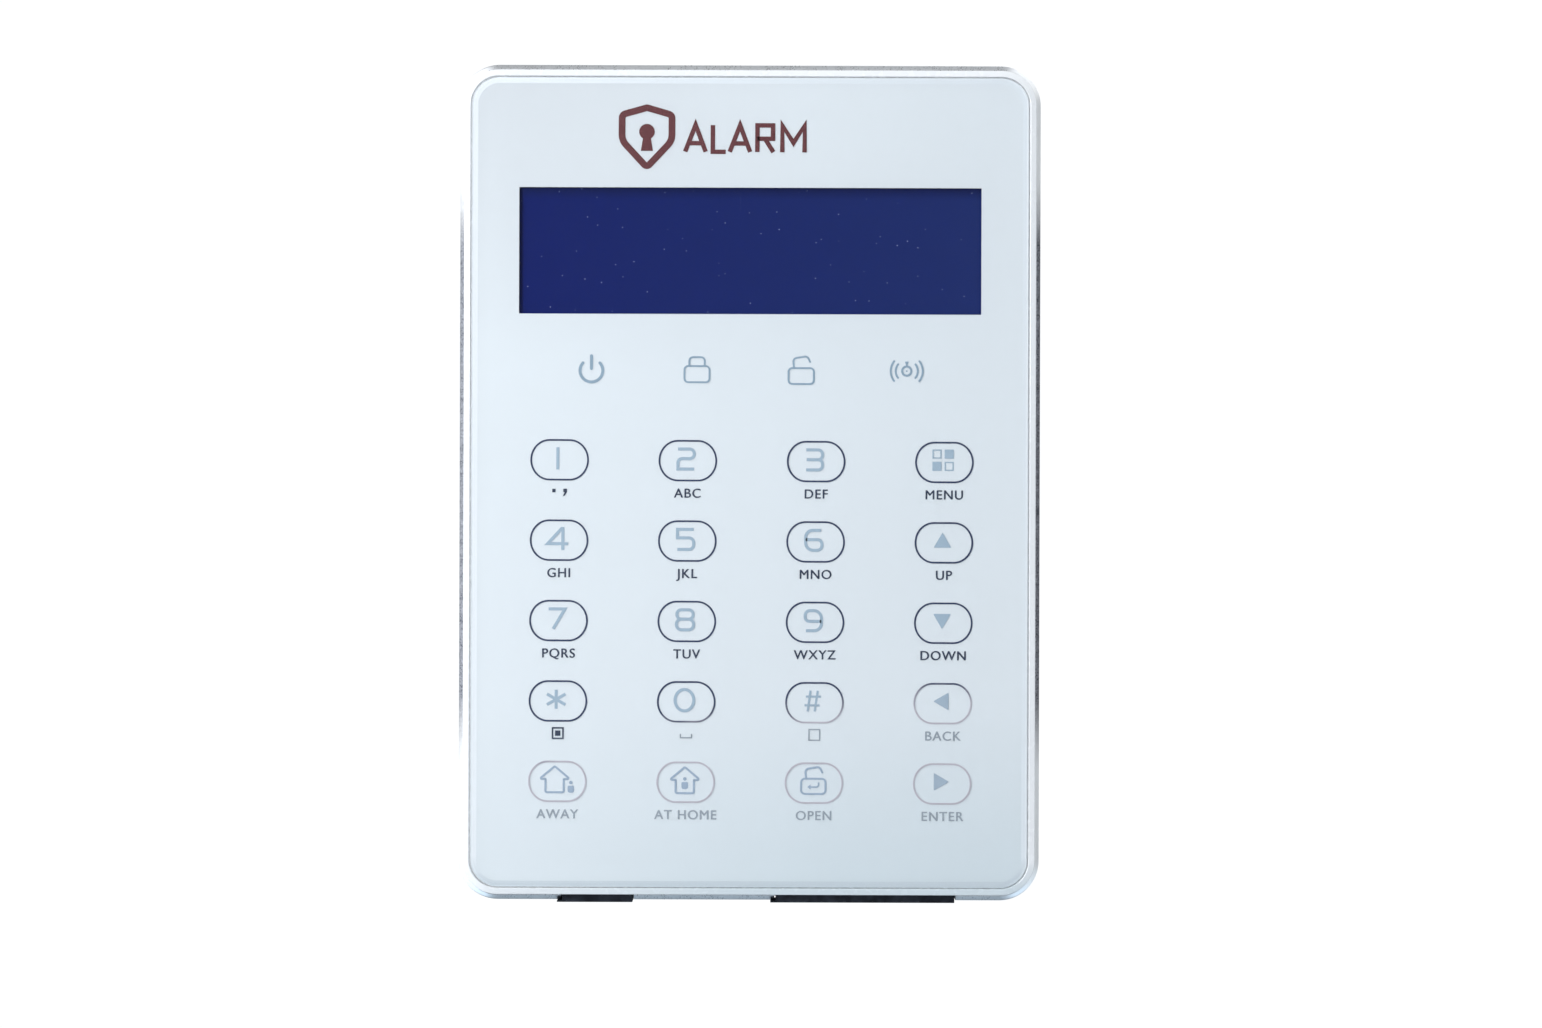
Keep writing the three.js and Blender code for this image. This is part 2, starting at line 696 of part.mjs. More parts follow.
function terminalBlock() {
  const { bottom, top, front, count, pitch } = TERMINALS;
  const halfLength = count * pitch / 2 + 0.4;
  const body = block(
    [TERMINAL_PORT.x - halfLength, TERMINAL_PORT.x + halfLength],
    [front, BOARD.front],
    [bottom, top],
  );
  const wellSpan = [bottom - OVERCUT, bottom + TERMINAL_SCREW.depth];
  const screwWells = terminalIndexes().map((index) => (
    uprightRod(TERMINAL_SCREW.well, wellSpan, terminalX(index), TERMINAL_SCREW.y, 10)));
  const wireEntries = terminalIndexes().map((index) => block(
    [terminalX(index) - WIRE_ENTRY.halfWidth, terminalX(index) + WIRE_ENTRY.halfWidth],
    [WIRE_ENTRY.y - WIRE_ENTRY.halfHeight, WIRE_ENTRY.y + WIRE_ENTRY.halfHeight],
    [bottom - OVERCUT, bottom + WIRE_ENTRY.depth],
  ));
  return part(
    'terminal_block',
    carved(body, { cut: [...screwWells, ...wireEntries] }),
    terminalGreen(),
  );
}

function terminalScrews() {
  const { y, radius, depth } = TERMINAL_SCREW;
  const face = TERMINALS.bottom + 0.8;
  const slotHalf = 0.3;
  const slotDepth = 0.7;
  return terminalIndexes().map((index) => {
    const body = uprightRod(radius, [face, TERMINALS.bottom + depth], 0, 0, 10);
    const slot = block(
      [-radius - OVERCUT, radius + OVERCUT],
      [-slotHalf, slotHalf],
      [face - OVERCUT, face + slotDepth],
    );
    const head = part(`terminal_screw_${index + 1}`, carved(body, { cut: [slot] }), zincSteel());
    head.position.set(terminalX(index), y, 0);
    return head;
  });
}

function powerJack() {
  const { halfWidth, front, length, axisY } = JACK;
  const { bottom } = TERMINALS;
  const boreEnd = bottom + 10;
  const body = block([-halfWidth, halfWidth], [front, BOARD.front], [bottom, bottom + length]);
  const bore = uprightRod(JACK.bore, [bottom - OVERCUT, boreEnd], 0, axisY, 14);
  const pin = uprightRod(JACK.pin, [bottom + 1, boreEnd + OVERCUT], 0, axisY, 8);
  const shell = carved(body, { cut: [bore] });
  const jack = part('power_jack', carved(shell, { added: [pin] }), blackPlastic());
  jack.position.x = POWER_PORT.x;
  return jack;
}

// ---- Tamper switch ----------------------------------------------------------

function tamperSwitch() {
  const { half, floor, boreRadius } = TAMPER;
  const cup = block([-half, half], [floor - 1.4, BOARD.front], [-half, half]);
  const bore = rod(boreRadius, [floor, BOARD.front + OVERCUT], 0, 0, 14);
  const body = part('tamper_switch', carved(cup, { cut: [bore] }), blackPlastic());
  body.position.set(TAMPER.x, 0, TAMPER.z);
  return body;
}

// A headed pin that rests against the bracket. Its stem runs inside the spring.
function tamperPlunger() {
  const stem = 1.3;
  const stemLength = 3.4;
  const head = TAMPER.boreRadius - 0.4;
  const tip = -BRACKET.thickness - 0.1;
  const pin = turned([
    [stem, TAMPER.shoulder - stemLength],
    [stem, TAMPER.shoulder],
    [head, TAMPER.shoulder],
    [head, tip - 1.2],
    [head - 0.5, tip - 0.4],
    [head - 1.5, tip],
  ], 14);
  const plunger = part('tamper_plunger', pin, milkyAcrylic());
  plunger.position.set(TAMPER.x, 0, TAMPER.z);
  return plunger;
}

class Helix extends THREE.Curve {
  constructor(radius, from, to, turns) {
    super();
    Object.assign(this, { radius, from, to, turns });
  }

  getPoint(t, target = new THREE.Vector3()) {
    const angle = t * this.turns * 2 * Math.PI;
    return target.set(
      this.radius * Math.cos(angle),
      this.from + (this.to - this.from) * t,
      this.radius * Math.sin(angle),
    );
  }
}

function tamperSpring() {
  const { radius, wire, turns } = TAMPER_COIL;
  const seat = wire + 0.05;
  const path = new Helix(radius, TAMPER.floor + seat, TAMPER.shoulder - seat, turns);
  const points = circleOutline(wire, 6).map(([u, v]) => new THREE.Vector2(u, v));
  const coil = new THREE.ExtrudeGeometry(new THREE.Shape(points), {
    extrudePath: path,
    steps: turns * 12,
    bevelEnabled: false,
  });
  const spring = part('tamper_spring', coil, springSteel());
  spring.position.set(TAMPER.x, 0, TAMPER.z);
  return spring;
}

// ---- Cable entry and wall bracket -------------------------------------------

function cableGrommet() {
  const { bore, gap, flange } = GROMMET;
  const neck = CABLE_ENTRY.holeRadius - 0.2;
  const lip = CABLE_ENTRY.holeRadius + GROMMET.lip;
  const inside = BACK_WALL_INNER - gap;
  const outside = BACK_WALL_OUTER + gap;
  const ring = turned([
    [bore, inside - flange],
    [lip, inside - flange],
    [lip, inside],
    [neck, inside],
    [neck, outside],
    [lip, outside],
    [lip, outside + flange],
    [bore, outside + flange],
  ], 20, true);
  const grommet = part('cable_grommet', ring, blackRubber());
  grommet.position.set(CABLE_ENTRY.x, 0, CABLE_ENTRY.z);
  return grommet;
}

// A hook that carries the panel's back wall and stops it from pulling off.
function hookPieces(x, zTop) {
  const across = [x - HOOK.width / 2, x + HOOK.width / 2];
  const rooted = -BRACKET.thickness + 0.5;
  return [
    block(across, [HOOK_TONGUE_FRONT, rooted], [zTop - HOOK.post, zTop]),
    block(across, [HOOK_TONGUE_FRONT, HOOK_TONGUE_BACK], [zTop - HOOK.post, zTop + HOOK.tongue]),
  ];
}

function wallBracket() {
  const plate = framed(BRACKET, [[0, -BRACKET.thickness], [0, 0]]);
  const through = [-BRACKET.thickness - OVERCUT, OVERCUT];
  const { halfWidth, bottom, top } = CABLE_OPENING;
  const cableOpening = block([-halfWidth, halfWidth], through, [bottom, top]);
  const slot = WALL_SCREW_SLOT;
  const screwSlots = mirrored(slot.x, slot.z).map(([x, z]) => block(
    [x - slot.halfWidth, x + slot.halfWidth],
    through,
    [z - slot.halfHeight, z + slot.halfHeight],
  ));
  const keyhole = [
    rod(KEYHOLE.head, through, 0, KEYHOLE.z, 16),
    block([-KEYHOLE.neck, KEYHOLE.neck], through, [KEYHOLE.z, KEYHOLE.neckTop]),
  ];
  return part('wall_bracket', carved(plate, {
    added: hookPlaces().flatMap(([x, zTop]) => hookPieces(x, zTop)),
    cut: [cableOpening, ...screwSlots, ...keyhole],
  }), galvanisedSteel());
}

// ---- Assembly ---------------------------------------------------------------

export default group('alarm_keypad_panel', [
  wallBracket(),
  group('panel', [
    glassPanel(),
    printFilm(),
    glassTape(),
    frontFrame(),
    sideBand(),
    rearHousing(),
    ...caseScrews(),
    cableGrommet(),
  ]),
  group('touch_layer', [
    touchBoard(),
    keyDiffuser(),
    ...statusLeds(),
    boardSocket(),
  ]),
  group('display', [
    lcdBezel(),
    lcdGlass(),
    lcdBacklight(),
    lcdBoard(),
    lcdRibbon(),
    ...lcdScrews(),
  ]),
  group('electronics', [
    mainBoard(),
    microcontroller(),
    ...Object.entries(CAPACITORS).map(capacitor),
    buzzer(),
    boardHeader(),
    terminalBlock(),
    ...terminalScrews(),
    powerJack(),
    ...boardScrews(),
    tamperSwitch(),
    tamperSpring(),
  ]),
  tamperPlunger(),
  portCover('power_port_cover', POWER_PORT),
  portCover('terminal_cover', TERMINAL_PORT),
]);
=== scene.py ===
"""Looks for a wall-mounted alarm keypad panel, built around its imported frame.

Lengths are metres in the part's own frame: +Z is up and the glass faces -Y.
Shapes drawn in the plane of the glass are given as (x, z) pairs.
"""

import json
import math

import bmesh
import bpy
from mathutils import Matrix, Vector


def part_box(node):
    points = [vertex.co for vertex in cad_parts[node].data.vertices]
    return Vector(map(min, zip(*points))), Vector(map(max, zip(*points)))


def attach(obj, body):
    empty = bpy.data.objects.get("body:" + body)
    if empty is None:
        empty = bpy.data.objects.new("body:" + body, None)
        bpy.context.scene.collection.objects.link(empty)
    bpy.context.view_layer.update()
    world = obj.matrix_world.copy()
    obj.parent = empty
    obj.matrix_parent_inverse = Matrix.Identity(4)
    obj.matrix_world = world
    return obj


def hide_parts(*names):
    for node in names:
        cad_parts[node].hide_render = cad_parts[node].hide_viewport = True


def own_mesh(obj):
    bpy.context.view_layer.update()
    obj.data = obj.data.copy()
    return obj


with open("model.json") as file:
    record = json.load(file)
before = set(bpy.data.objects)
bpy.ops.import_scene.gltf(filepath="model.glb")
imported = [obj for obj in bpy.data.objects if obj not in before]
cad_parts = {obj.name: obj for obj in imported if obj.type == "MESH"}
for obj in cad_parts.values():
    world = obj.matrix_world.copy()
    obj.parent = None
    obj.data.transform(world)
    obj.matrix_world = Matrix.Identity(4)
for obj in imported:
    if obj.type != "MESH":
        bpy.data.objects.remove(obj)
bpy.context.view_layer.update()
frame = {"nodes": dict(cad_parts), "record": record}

MM = 0.001
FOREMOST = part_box("glass_panel")[0].y

# ---- Sizes of the casing ----------------------------------------------------

BAND_RADIUS = 8.9 * MM
BAND_WALL = 1.2 * MM
FRAME_RADIUS = 7.6 * MM
GLASS_RADIUS = 6.2 * MM
COVER_GAP = 0.3 * MM
TAB_LENGTH = 1.2 * MM
TAB_THICKNESS = 0.35 * MM
CORNER_STEPS = 20
RIM_EDGE_STEPS = 8
SMALLEST_CORNER = 0.2 * MM

# ---- Sizes of the print -----------------------------------------------------

PRINT_SHIFT = 0.5 * MM
PRINT_TURN = math.radians(0.23)
KEY_PITCH_X = 28.8 * MM
KEY_PITCH_Z = 18.05 * MM
KEY_COLUMNS = 4
KEY_ROWS = 5
KEY_TOP_ROW = 4.8 * MM
LABEL_DROP = Vector((0, -7.22)) * MM
LABEL_CAP_HEIGHT = 2.15 * MM
LEGEND_SHIFT = Vector((-0.4, 0.37)) * MM
ICON_SHIFT = Vector((-0.3, 0.5)) * MM
STATUS_SHIFT = Vector((-0.3, 0.05)) * MM
EMBLEM_PLACE = Vector((-23.6, 77.4)) * MM
WORD_PLACE = Vector((-1.6, 77.2)) * MM

# What is drawn about a place is drawn in millimetres.
KEY_HALF_FLAT = 2.25
KEY_END = 4.13
KEY_HALF_HEIGHT = 4.45
KEY_LINE = 0.4
DIGIT_HALF_WIDTH = 1.83
DIGIT_HALF_HEIGHT = 2.25
DIGIT_LINE = 0.7
STAR_LINE = 0.69
HASH_LINE = 0.5
HOUSE_LINE = 0.48
SIGN_LINE = 0.28
WORD_CAP_HEIGHT = 6.0
WORD_LINE = 1.0

# ---- Outlines ---------------------------------------------------------------


def corners_of(node):
    """The lowest and highest (x, z) of a CAD node."""
    low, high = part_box(node)
    return Vector((low.x, low.z)), Vector((high.x, high.z))


def middle_of(node):
    low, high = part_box(node)
    return (low + high) / 2


def centre_of(node):
    """The (x, z) centre of a CAD node."""
    middle = middle_of(node)
    return Vector((middle.x, middle.z))


def rounded_outline(node, radius, inset):
    """A rounded rectangle round a CAD node, drawn in by an inset."""
    low, high = corners_of(node)
    middle = (low + high) / 2
    corner = max(radius - inset, SMALLEST_CORNER)
    reach = (high - low) / 2 - Vector((inset + corner, inset + corner))
    points = []
    for quarter, (side, rise) in enumerate(((1, 1), (-1, 1), (-1, -1), (1, -1))):
        centre = middle + Vector((side * reach.x, rise * reach.y))
        for step in range(CORNER_STEPS + 1):
            angle = (quarter + step / CORNER_STEPS) * math.pi / 2
            points.append(centre + corner * Vector((math.cos(angle), math.sin(angle))))
    return points


def arc(radius, start, end, steps=16, centre=(0, 0)):
    """Points on an arc, with its angles in degrees from +X."""
    points = []
    for step in range(steps + 1):
        angle = math.radians(start + (end - start) * step / steps)
        points.append((centre[0] + radius * math.cos(angle), centre[1] + radius * math.sin(angle)))
    return points


def rounded_path(points, radius, closed=False):
    """A path with its inner corners rounded. The radius is one number or one for each point."""
    corners = [Vector(point) for point in points]
    radii = radius if isinstance(radius, (list, tuple)) else [radius] * len(corners)
    path = []
    for index, corner in enumerate(corners):
        at_end = not closed and index in (0, len(corners) - 1)
        if at_end or radii[index] == 0:
            path.append(corner)
            continue
        arriving = (corner - corners[index - 1]).normalized()
        leaving = (corners[(index + 1) % len(corners)] - corner).normalized()
        turn = math.atan2(arriving.x * leaving.y - arriving.y * leaving.x, arriving.dot(leaving))
        cut = radii[index] * math.tan(abs(turn) / 2)
        sideways = Vector((-arriving.y, arriving.x)) * math.copysign(radii[index], turn)
        centre = corner - arriving * cut + sideways
        steps = max(2, round(abs(turn) / math.radians(12)))
        for step in range(steps + 1):
            path.append(centre + Matrix.Rotation(turn * step / steps, 2) @ -sideways)
    return path


def fillet(run, drop, start, steps):
    """A quarter ellipse from a face at depth `start` to the side, as (inset, y) pairs."""
    points = []
    for step in range(steps + 1):
        angle = step / steps * math.pi / 2
        points.append((run * (1 - math.sin(angle)), start + drop * (1 - math.cos(angle))))
    return points


# ---- Meshes -----------------------------------------------------------------

SHARP_ANGLE = math.radians(35)
FLAT_ANGLE = math.radians(0.5)
WELD = 0.001 * MM


def in_depth(outline, y):
    return [Vector((x, y, z)) for x, z in outline]


def loft(bm, sections, closed=False):
    """Joins outlines of equal length. Closed joins the last to the first, or else both ends
    are capped."""
    rings = [[bm.verts.new(point) for point in section] for section in sections]
    following = rings[1:] + rings[:1] if closed else rings[1:]
    for near, far in zip(rings, following):
        for index in range(len(near)):
            after = (index + 1) % len(near)
            bm.faces.new((near[index], far[index], far[after], near[after]))
    if not closed:
        bm.faces.new(rings[0])
        bm.faces.new(rings[-1])


def box_of(bm, low, high):
    """A plain block between two corners, as a tool for cutting or joining."""
    outline = [(low[0], low[2]), (high[0], low[2]), (high[0], high[2]), (low[0], high[2])]
    loft(bm, [in_depth(outline, low[1]), in_depth(outline, high[1])])


def turned(bm, profile, place, segments, closed=False, upright=False):
    """A (radius, distance) profile turned about an axis along Y through (x, z). Upright, the axis
    is along Z through (x, y)."""
    sections = []
    for radius, distance in profile:
        circle = arc(radius, 0, 360 - 360 / segments, segments - 1, place)
        ring = [Vector((x, y, distance)) for x, y in circle] if upright else in_depth(circle, distance)
        sections.append(ring)
    loft(bm, sections, closed)


def object_of(name, bm, material):
    """A new object that is smooth except across its sharp edges."""
    bmesh.ops.recalc_face_normals(bm, faces=bm.faces)
    mesh = bpy.data.meshes.new(name)
    bm.to_mesh(mesh)
    bm.free()
    mesh.materials.append(material)
    mesh.shade_smooth()
    mesh.set_sharp_from_angle(angle=SHARP_ANGLE)
    made = bpy.data.objects.new(name, mesh)
    bpy.context.scene.collection.objects.link(made)
    return made


def soften(piece, width):
    """Rounds a piece's sharp edges and keeps its flat faces looking flat."""
    bevel = piece.modifiers.new("rounded_edges", "BEVEL")
    bevel.width = width
    bevel.segments = 2
    bevel.limit_method = "ANGLE"
    bevel.angle_limit = SHARP_ANGLE
    bevel.harden_normals = True
    return piece


def even_shading(piece):
    weighted = piece.modifiers.new("even_shading", "WEIGHTED_NORMAL")
    weighted.keep_sharp = True
    return piece


def carved(piece, added=(), cut=()):
    """Joins and cuts a piece with meshes made by functions that fill a bmesh."""
    for operation, makers in (("UNION", added), ("DIFFERENCE", cut)):
        for make in makers:
            bm = bmesh.new()
            make(bm)
            tool = object_of("tool", bm, piece.data.materials[0])
            modifier = piece.modifiers.new("carve", "BOOLEAN")
            modifier.operation = operation
            modifier.solver = "EXACT"
            modifier.object = tool
            evaluated = piece.evaluated_get(bpy.context.evaluated_depsgraph_get())
            mesh = bpy.data.meshes.new_from_object(evaluated)
            piece.modifiers.clear()
            piece.data = mesh
            bpy.data.objects.remove(tool)
    piece.data.shade_smooth()
    piece.data.set_sharp_from_angle(angle=SHARP_ANGLE)
    return piece


def settle(piece, body, nodes=()):
    """Puts a finished piece on its body, in the place of the CAD nodes it stands for."""
    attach(piece, body)
    if nodes:
        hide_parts(*nodes)
    return piece


# ---- Building materials -----------------------------------------------------


def linear(value):
    """The scene-linear share of a display value between 0 and 255."""
    share = value / 255
    return share / 12.92 if share <= 0.04045 else ((share + 0.055) / 1.055) ** 2.4


def colour(red, green, blue):
    return (linear(red), linear(green), linear(blue), 1.0)


class Nodes:
    """Short calls for the nodes of a shader tree. Each input is a value or a node's socket."""

    def __init__(self, tree):
        self.tree = tree

    def feed(self, socket, value):
        if isinstance(value, bpy.types.NodeSocket):
            self.tree.links.new(value, socket)
        else:
            socket.default_value = value

    def node(self, kind, inputs=None, **settings):
        """Adds a node and gives its outputs."""
        made = self.tree.nodes.new(f"ShaderNode{kind}")
        for key, value in settings.items():
            setattr(made, key, value)
        for key, value in (inputs or {}).items():
            self.feed(made.inputs[key], value)
        return made.outputs

    def math(self, operation, first, second=0.0, clamp=False):
        return self.node("Math", {0: first, 1: second}, operation=operation, use_clamp=clamp)[0]

    def plus(self, first, second):
        return self.math("ADD", first, second)

    def minus(self, first, second):
        return self.math("SUBTRACT", first, second)

    def times(self, first, second):
        return self.math("MULTIPLY", first, second)

    def split(self, vector, axis):
        return self.node("SeparateXYZ", {"Vector": vector})[axis]

    def span(self, value, low, high, bottom=0.0, top=1.0):
        """Maps the range low..high to bottom..top and holds it there."""
        limits = {"From Min": low, "From Max": high, "To Min": bottom, "To Max": top}
        return self.node("MapRange", {"Value": value, **limits})["Result"]

    def mix(self, factor, first, second):
        """A colour between two. Three numbers are display values, and four are linear."""
        ends = [
            colour(*end) if isinstance(end, tuple) and len(end) == 3 else end
            for end in (first, second)
        ]
        return self.node("Mix", {"Factor": factor, 6: ends[0], 7: ends[1]}, data_type="RGBA")[2]


class Surface(Nodes):
    """A material with one Principled shader."""

    def __init__(self, name, **settings):
        self.material = bpy.data.materials.new(name)
        self.material.use_nodes = True
        super().__init__(self.material.node_tree)
        self.shader = self.tree.nodes["Principled BSDF"]
        self.coordinates = self.node("TexCoord")["Object"]
        self.let(**settings)

    def set(self, socket, value):
        self.feed(self.shader.inputs[socket], value)

    def let(self, **settings):
        """Sets shader inputs by names such as coat_weight."""
        for socket, value in settings.items():
            self.set(socket.replace("_", " ").title().replace("Ior", "IOR"), value)

    def tint(self, factor, first, second):
        self.set("Base Color", self.mix(factor, first, second))

    def roughen(self, noise, smoothest, roughest):
        self.set("Roughness", self.span(noise, 0.3, 0.7, smoothest, roughest))

    def bump(self, height, strength, distance):
        inputs = {"Height": height, "Strength": strength, "Distance": distance}
        self.set("Normal", self.node("Bump", inputs)["Normal"])

    def grain(self, noise, smoothest, roughest, strength, distance):
        """One noise for roughness and relief."""
        self.roughen(noise, smoothest, roughest)
        self.bump(noise, strength, distance)

    def axis(self, name):
        """One coordinate of the surface point, in metres."""
        return self.split(self.coordinates, name)

    def pattern(self, kind, stretch, inputs, **settings):
        """A texture in object coordinates, multiplied axis by axis."""
        mapped = self.node("Mapping", {"Vector": self.coordinates, "Scale": stretch})["Vector"]
        return self.node(kind, {"Vector": mapped, "Scale": 1.0, **inputs}, **settings)

    def noise(self, size, detail=3.0, roughness=0.5, stretch=(1, 1, 1)):
        """Noise with features of about `size` metres, longer where stretch is below 1."""
        scale = tuple(axis / size for axis in stretch)
        return self.pattern("TexNoise", scale, {"Detail": detail, "Roughness": roughness})["Fac"]

    def cells(self, size, output="Distance", **settings):
        """Voronoi cells about `size` metres across."""
        return self.pattern("TexVoronoi", (1 / size,) * 3, {}, **settings)[output]

    def flat_dots(self, spacing, radius):
        """1 on round dots scattered over a face that looks along Y, and 0 between them."""
        across = self.math("DIVIDE", self.axis("X"), spacing)
        upward = self.math("DIVIDE", self.axis("Z"), spacing)
        flat = self.node("CombineXYZ", {"X": across, "Y": upward})["Vector"]
        inputs = {"Vector": flat, "Scale": 1.0}
        distance = self.node("TexVoronoi", inputs, voronoi_dimensions="2D")["Distance"]
        return self.span(distance, radius / spacing, 0.6 * radius / spacing)

    def worn_edges(self):
        """1 on convex edges, broken up by noise, and 0 on flat faces."""
        pointed = self.span(self.node("NewGeometry")["Pointiness"], 0.52, 0.6)
        return self.times(pointed, self.span(self.noise(2.5 * MM, detail=5), 0.4, 0.65))


# ---- Materials --------------------------------------------------------------


def clear_glass(surface):
    surface.let(roughness=0.0, ior=1.5, transmission_weight=1.0, base_color=colour(250, 253, 255))
    surface.bump(surface.noise(18 * MM, detail=6, roughness=0.6), 0.02, 0.05 * MM)


def inset_from(surface, node, radius):
    """How far a point lies inside a rounded rectangle round a CAD node, up to its radius."""
    low, high = corners_of(node)
    middle, half = (low + high) / 2, (high - low) / 2
    squares = []
    for name, centre, reach in (("X", middle.x, half.x), ("Z", middle.y, half.y)):
        offset = surface.math("ABSOLUTE", surface.minus(surface.axis(name), centre))
        beyond = surface.math("MAXIMUM", surface.minus(offset, reach - radius), 0.0)
        squares.append(surface.times(beyond, beyond))
    return surface.minus(radius, surface.math("SQRT", surface.plus(*squares)))


def white_lacquer(surface):
    """White ground with painted shade at the foot towards the right and at the top left, and a band
    along the glass's edge with painted light at the left and painted shade at the foot.
    """
    rightward, upward = surface.axis("X"), surface.axis("Z")
    ground = surface.mix(surface.noise(45 * MM), (210, 216, 221), (213, 219, 224))
    # Painted shade: the ground is darker towards the bottom, more so towards the right.
    foot = surface.span(upward, -50 * MM, -90 * MM)
    foot = surface.times(foot, surface.span(rightward, -50 * MM, 20 * MM, 0.3))
    ground = surface.mix(foot, ground, (199, 209, 215))
    # Painted shade: the ground is darker towards the top left.
    shade = surface.span(upward, 25 * MM, 88 * MM)
    shade = surface.times(shade, surface.span(rightward, 10 * MM, -50 * MM, 0.1))
    ground = surface.mix(shade, ground, (200, 205, 210))
    # Painted light and shade along the glass's edge: the band is lighter at the left and darker at the
    # foot.
    across = surface.span(rightward, -62 * MM, 62 * MM, 0.64, 0.44)
    edge_shade_at_foot = surface.span(upward, -84 * MM, -90 * MM, 0.0, 0.6)
    lean = surface.math("SUBTRACT", across, edge_shade_at_foot, clamp=True)
    painted_edge_light_and_shade = surface.mix(lean, (189, 199, 207), (239, 242, 246))
    inset = inset_from(surface, "glass_panel", GLASS_RADIUS)
    surface.tint(surface.span(inset, 1.45 * MM, 1.3 * MM), ground, painted_edge_light_and_shade)
    surface.grain(surface.noise(0.35 * MM, detail=2), 0.42, 0.55, 0.08, 0.02 * MM)


def black_foam(surface):
    pores = surface.cells(0.4 * MM)
    surface.tint(pores, (18, 19, 21), (48, 50, 54))
    surface.set("Roughness", surface.span(pores, 0, 1, 0.98, 0.85))
    surface.bump(pores, 0.7, 0.2 * MM)


def gloss_white(surface):
    """White, with painted shade at the foot towards the right."""
    surface.let(coat_weight=0.4, coat_roughness=0.06)
    base = surface.mix(surface.noise(20 * MM, detail=4), (233, 237, 242), (238, 242, 246))
    # Painted shade: darker at the foot, more so towards the right.
    foot = surface.span(surface.axis("Z"), -85 * MM, -91 * MM)
    foot = surface.times(foot, surface.span(surface.axis("X"), -62 * MM, -5 * MM, 0.1))
    surface.tint(foot, base, (209, 221, 228))
    surface.grain(surface.noise(1.6 * MM, detail=2), 0.2, 0.3, 0.05, 0.03 * MM)


def satin_white(surface):
    base = surface.mix(surface.noise(30 * MM, detail=5), (226, 228, 229), (236, 237, 237))
    surface.tint(surface.worn_edges(), base, (246, 246, 245))
    sparks = surface.noise(0.32 * MM, detail=4, roughness=0.65)
    surface.grain(sparks, 0.45, 0.62, 0.45, 0.05 * MM)


def brushed_aluminium(surface):
    """Brushed from front to back along the middle of the long sides, and satin elsewhere. Towards the
    top and the foot the metal's colour is painted lighter, a painted highlight, and nearly white at
    the upper and lower ends of the sides.
    """
    surface.let(metallic=1.0, anisotropic=0.35)
    fine = surface.noise(0.3 * MM, roughness=0.6, stretch=(1, 0.03, 1))
    patches = surface.noise(2.5 * MM, stretch=(1, 0.1, 1))
    streaks = surface.plus(surface.times(fine, 0.7), surface.times(patches, 0.3))
    streaks = surface.span(streaks, 0.38, 0.62)
    top_end = surface.span(surface.axis("Z"), 53 * MM, 68 * MM)
    foot_end = surface.span(surface.axis("Z"), -48 * MM, -64 * MM)
    ends = surface.math("MAXIMUM", top_end, foot_end)
    sideways = surface.math("ABSOLUTE", surface.axis("X"))
    painted_highlight_ends = surface.times(ends, surface.span(sideways, 62.2 * MM, 62.8 * MM))
    # Painted highlight: towards the top and the foot the metal takes a lighter copy of its colour, and
    # the sides' ends are painted nearly white.
    dull = surface.mix(streaks, (138, 143, 156), (206, 210, 220))
    polished = surface.mix(streaks, (224, 227, 232), (230, 233, 237))
    surface.tint(painted_highlight_ends, surface.mix(ends, dull, polished), (244, 246, 248))
    brushed = surface.span(streaks, 0, 1, 0.26, 0.4)
    surface.set("Roughness", surface.plus(brushed, surface.times(painted_highlight_ends, 0.3)))
    surface.bump(surface.times(streaks, surface.span(ends, 0, 1, 1.0, 0.12)), 0.3, 0.02 * MM)


def black_rubber(surface):
    surface.let(specular_ior_level=0.18)
    dust = surface.span(surface.noise(3 * MM, detail=6, roughness=0.65), 0.45, 0.75)
    base = surface.mix(dust, (10, 14, 23), (17, 22, 32))
    surface.tint(surface.worn_edges(), base, (42, 47, 56))
    surface.grain(surface.noise(0.18 * MM), 0.62, 0.82, 0.35, 0.03 * MM)


def black_plastic(surface):
    surface.tint(surface.noise(4 * MM, detail=4), (26, 27, 30), (40, 41, 44))
    surface.grain(surface.noise(0.15 * MM), 0.42, 0.6, 0.25, 0.02 * MM)


def display_glass(surface):
    """Deep blue with painted light that brightens it towards the right, a painted shadow under the
    window's top edge, fine scratches and a little dust.
    """
    surface.let(specular_ior_level=0.15)
    low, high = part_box("lcd_glass")
    window_top = high.z - 4.2 * MM
    # Painted light: the blue is lighter towards the right.
    across = surface.span(surface.axis("X"), low.x, high.x)
    # Painted shadow: darker just below the window's top edge.
    top_shadow_fade = surface.span(surface.axis("Z"), window_top, window_top - 2.5 * MM)
    base = surface.mix(across, (18, 30, 92), (27, 42, 98))
    base = surface.mix(top_shadow_fade, (18, 28, 75), base)
    waves = surface.noise(9 * MM)
    dusty = surface.span(waves, 0.42, 0.58, 0.1)
    specks = surface.times(surface.flat_dots(6 * MM, 0.11 * MM), dusty)
    scratch = surface.noise(0.35 * MM, detail=2, stretch=(1, 1, 0.02))
    scratch = surface.times(surface.span(scratch, 0.76, 0.8), 0.25)
    marks = surface.math("MAXIMUM", specks, scratch)
    surface.tint(surface.math("MULTIPLY", marks, 0.9, clamp=True), base, (172, 186, 226))
    surface.roughen(surface.noise(14 * MM, detail=4), 0.1, 0.2)
    surface.bump(waves, 0.02, 0.05 * MM)


def milky_acrylic(surface):
    surface.let(subsurface_weight=0.3, subsurface_radius=(0.002,) * 3, subsurface_scale=1.0)
    surface.tint(surface.noise(8 * MM), (238, 240, 238), (247, 248, 246))
    surface.grain(surface.noise(0.8 * MM), 0.32, 0.48, 0.06, 0.03 * MM)


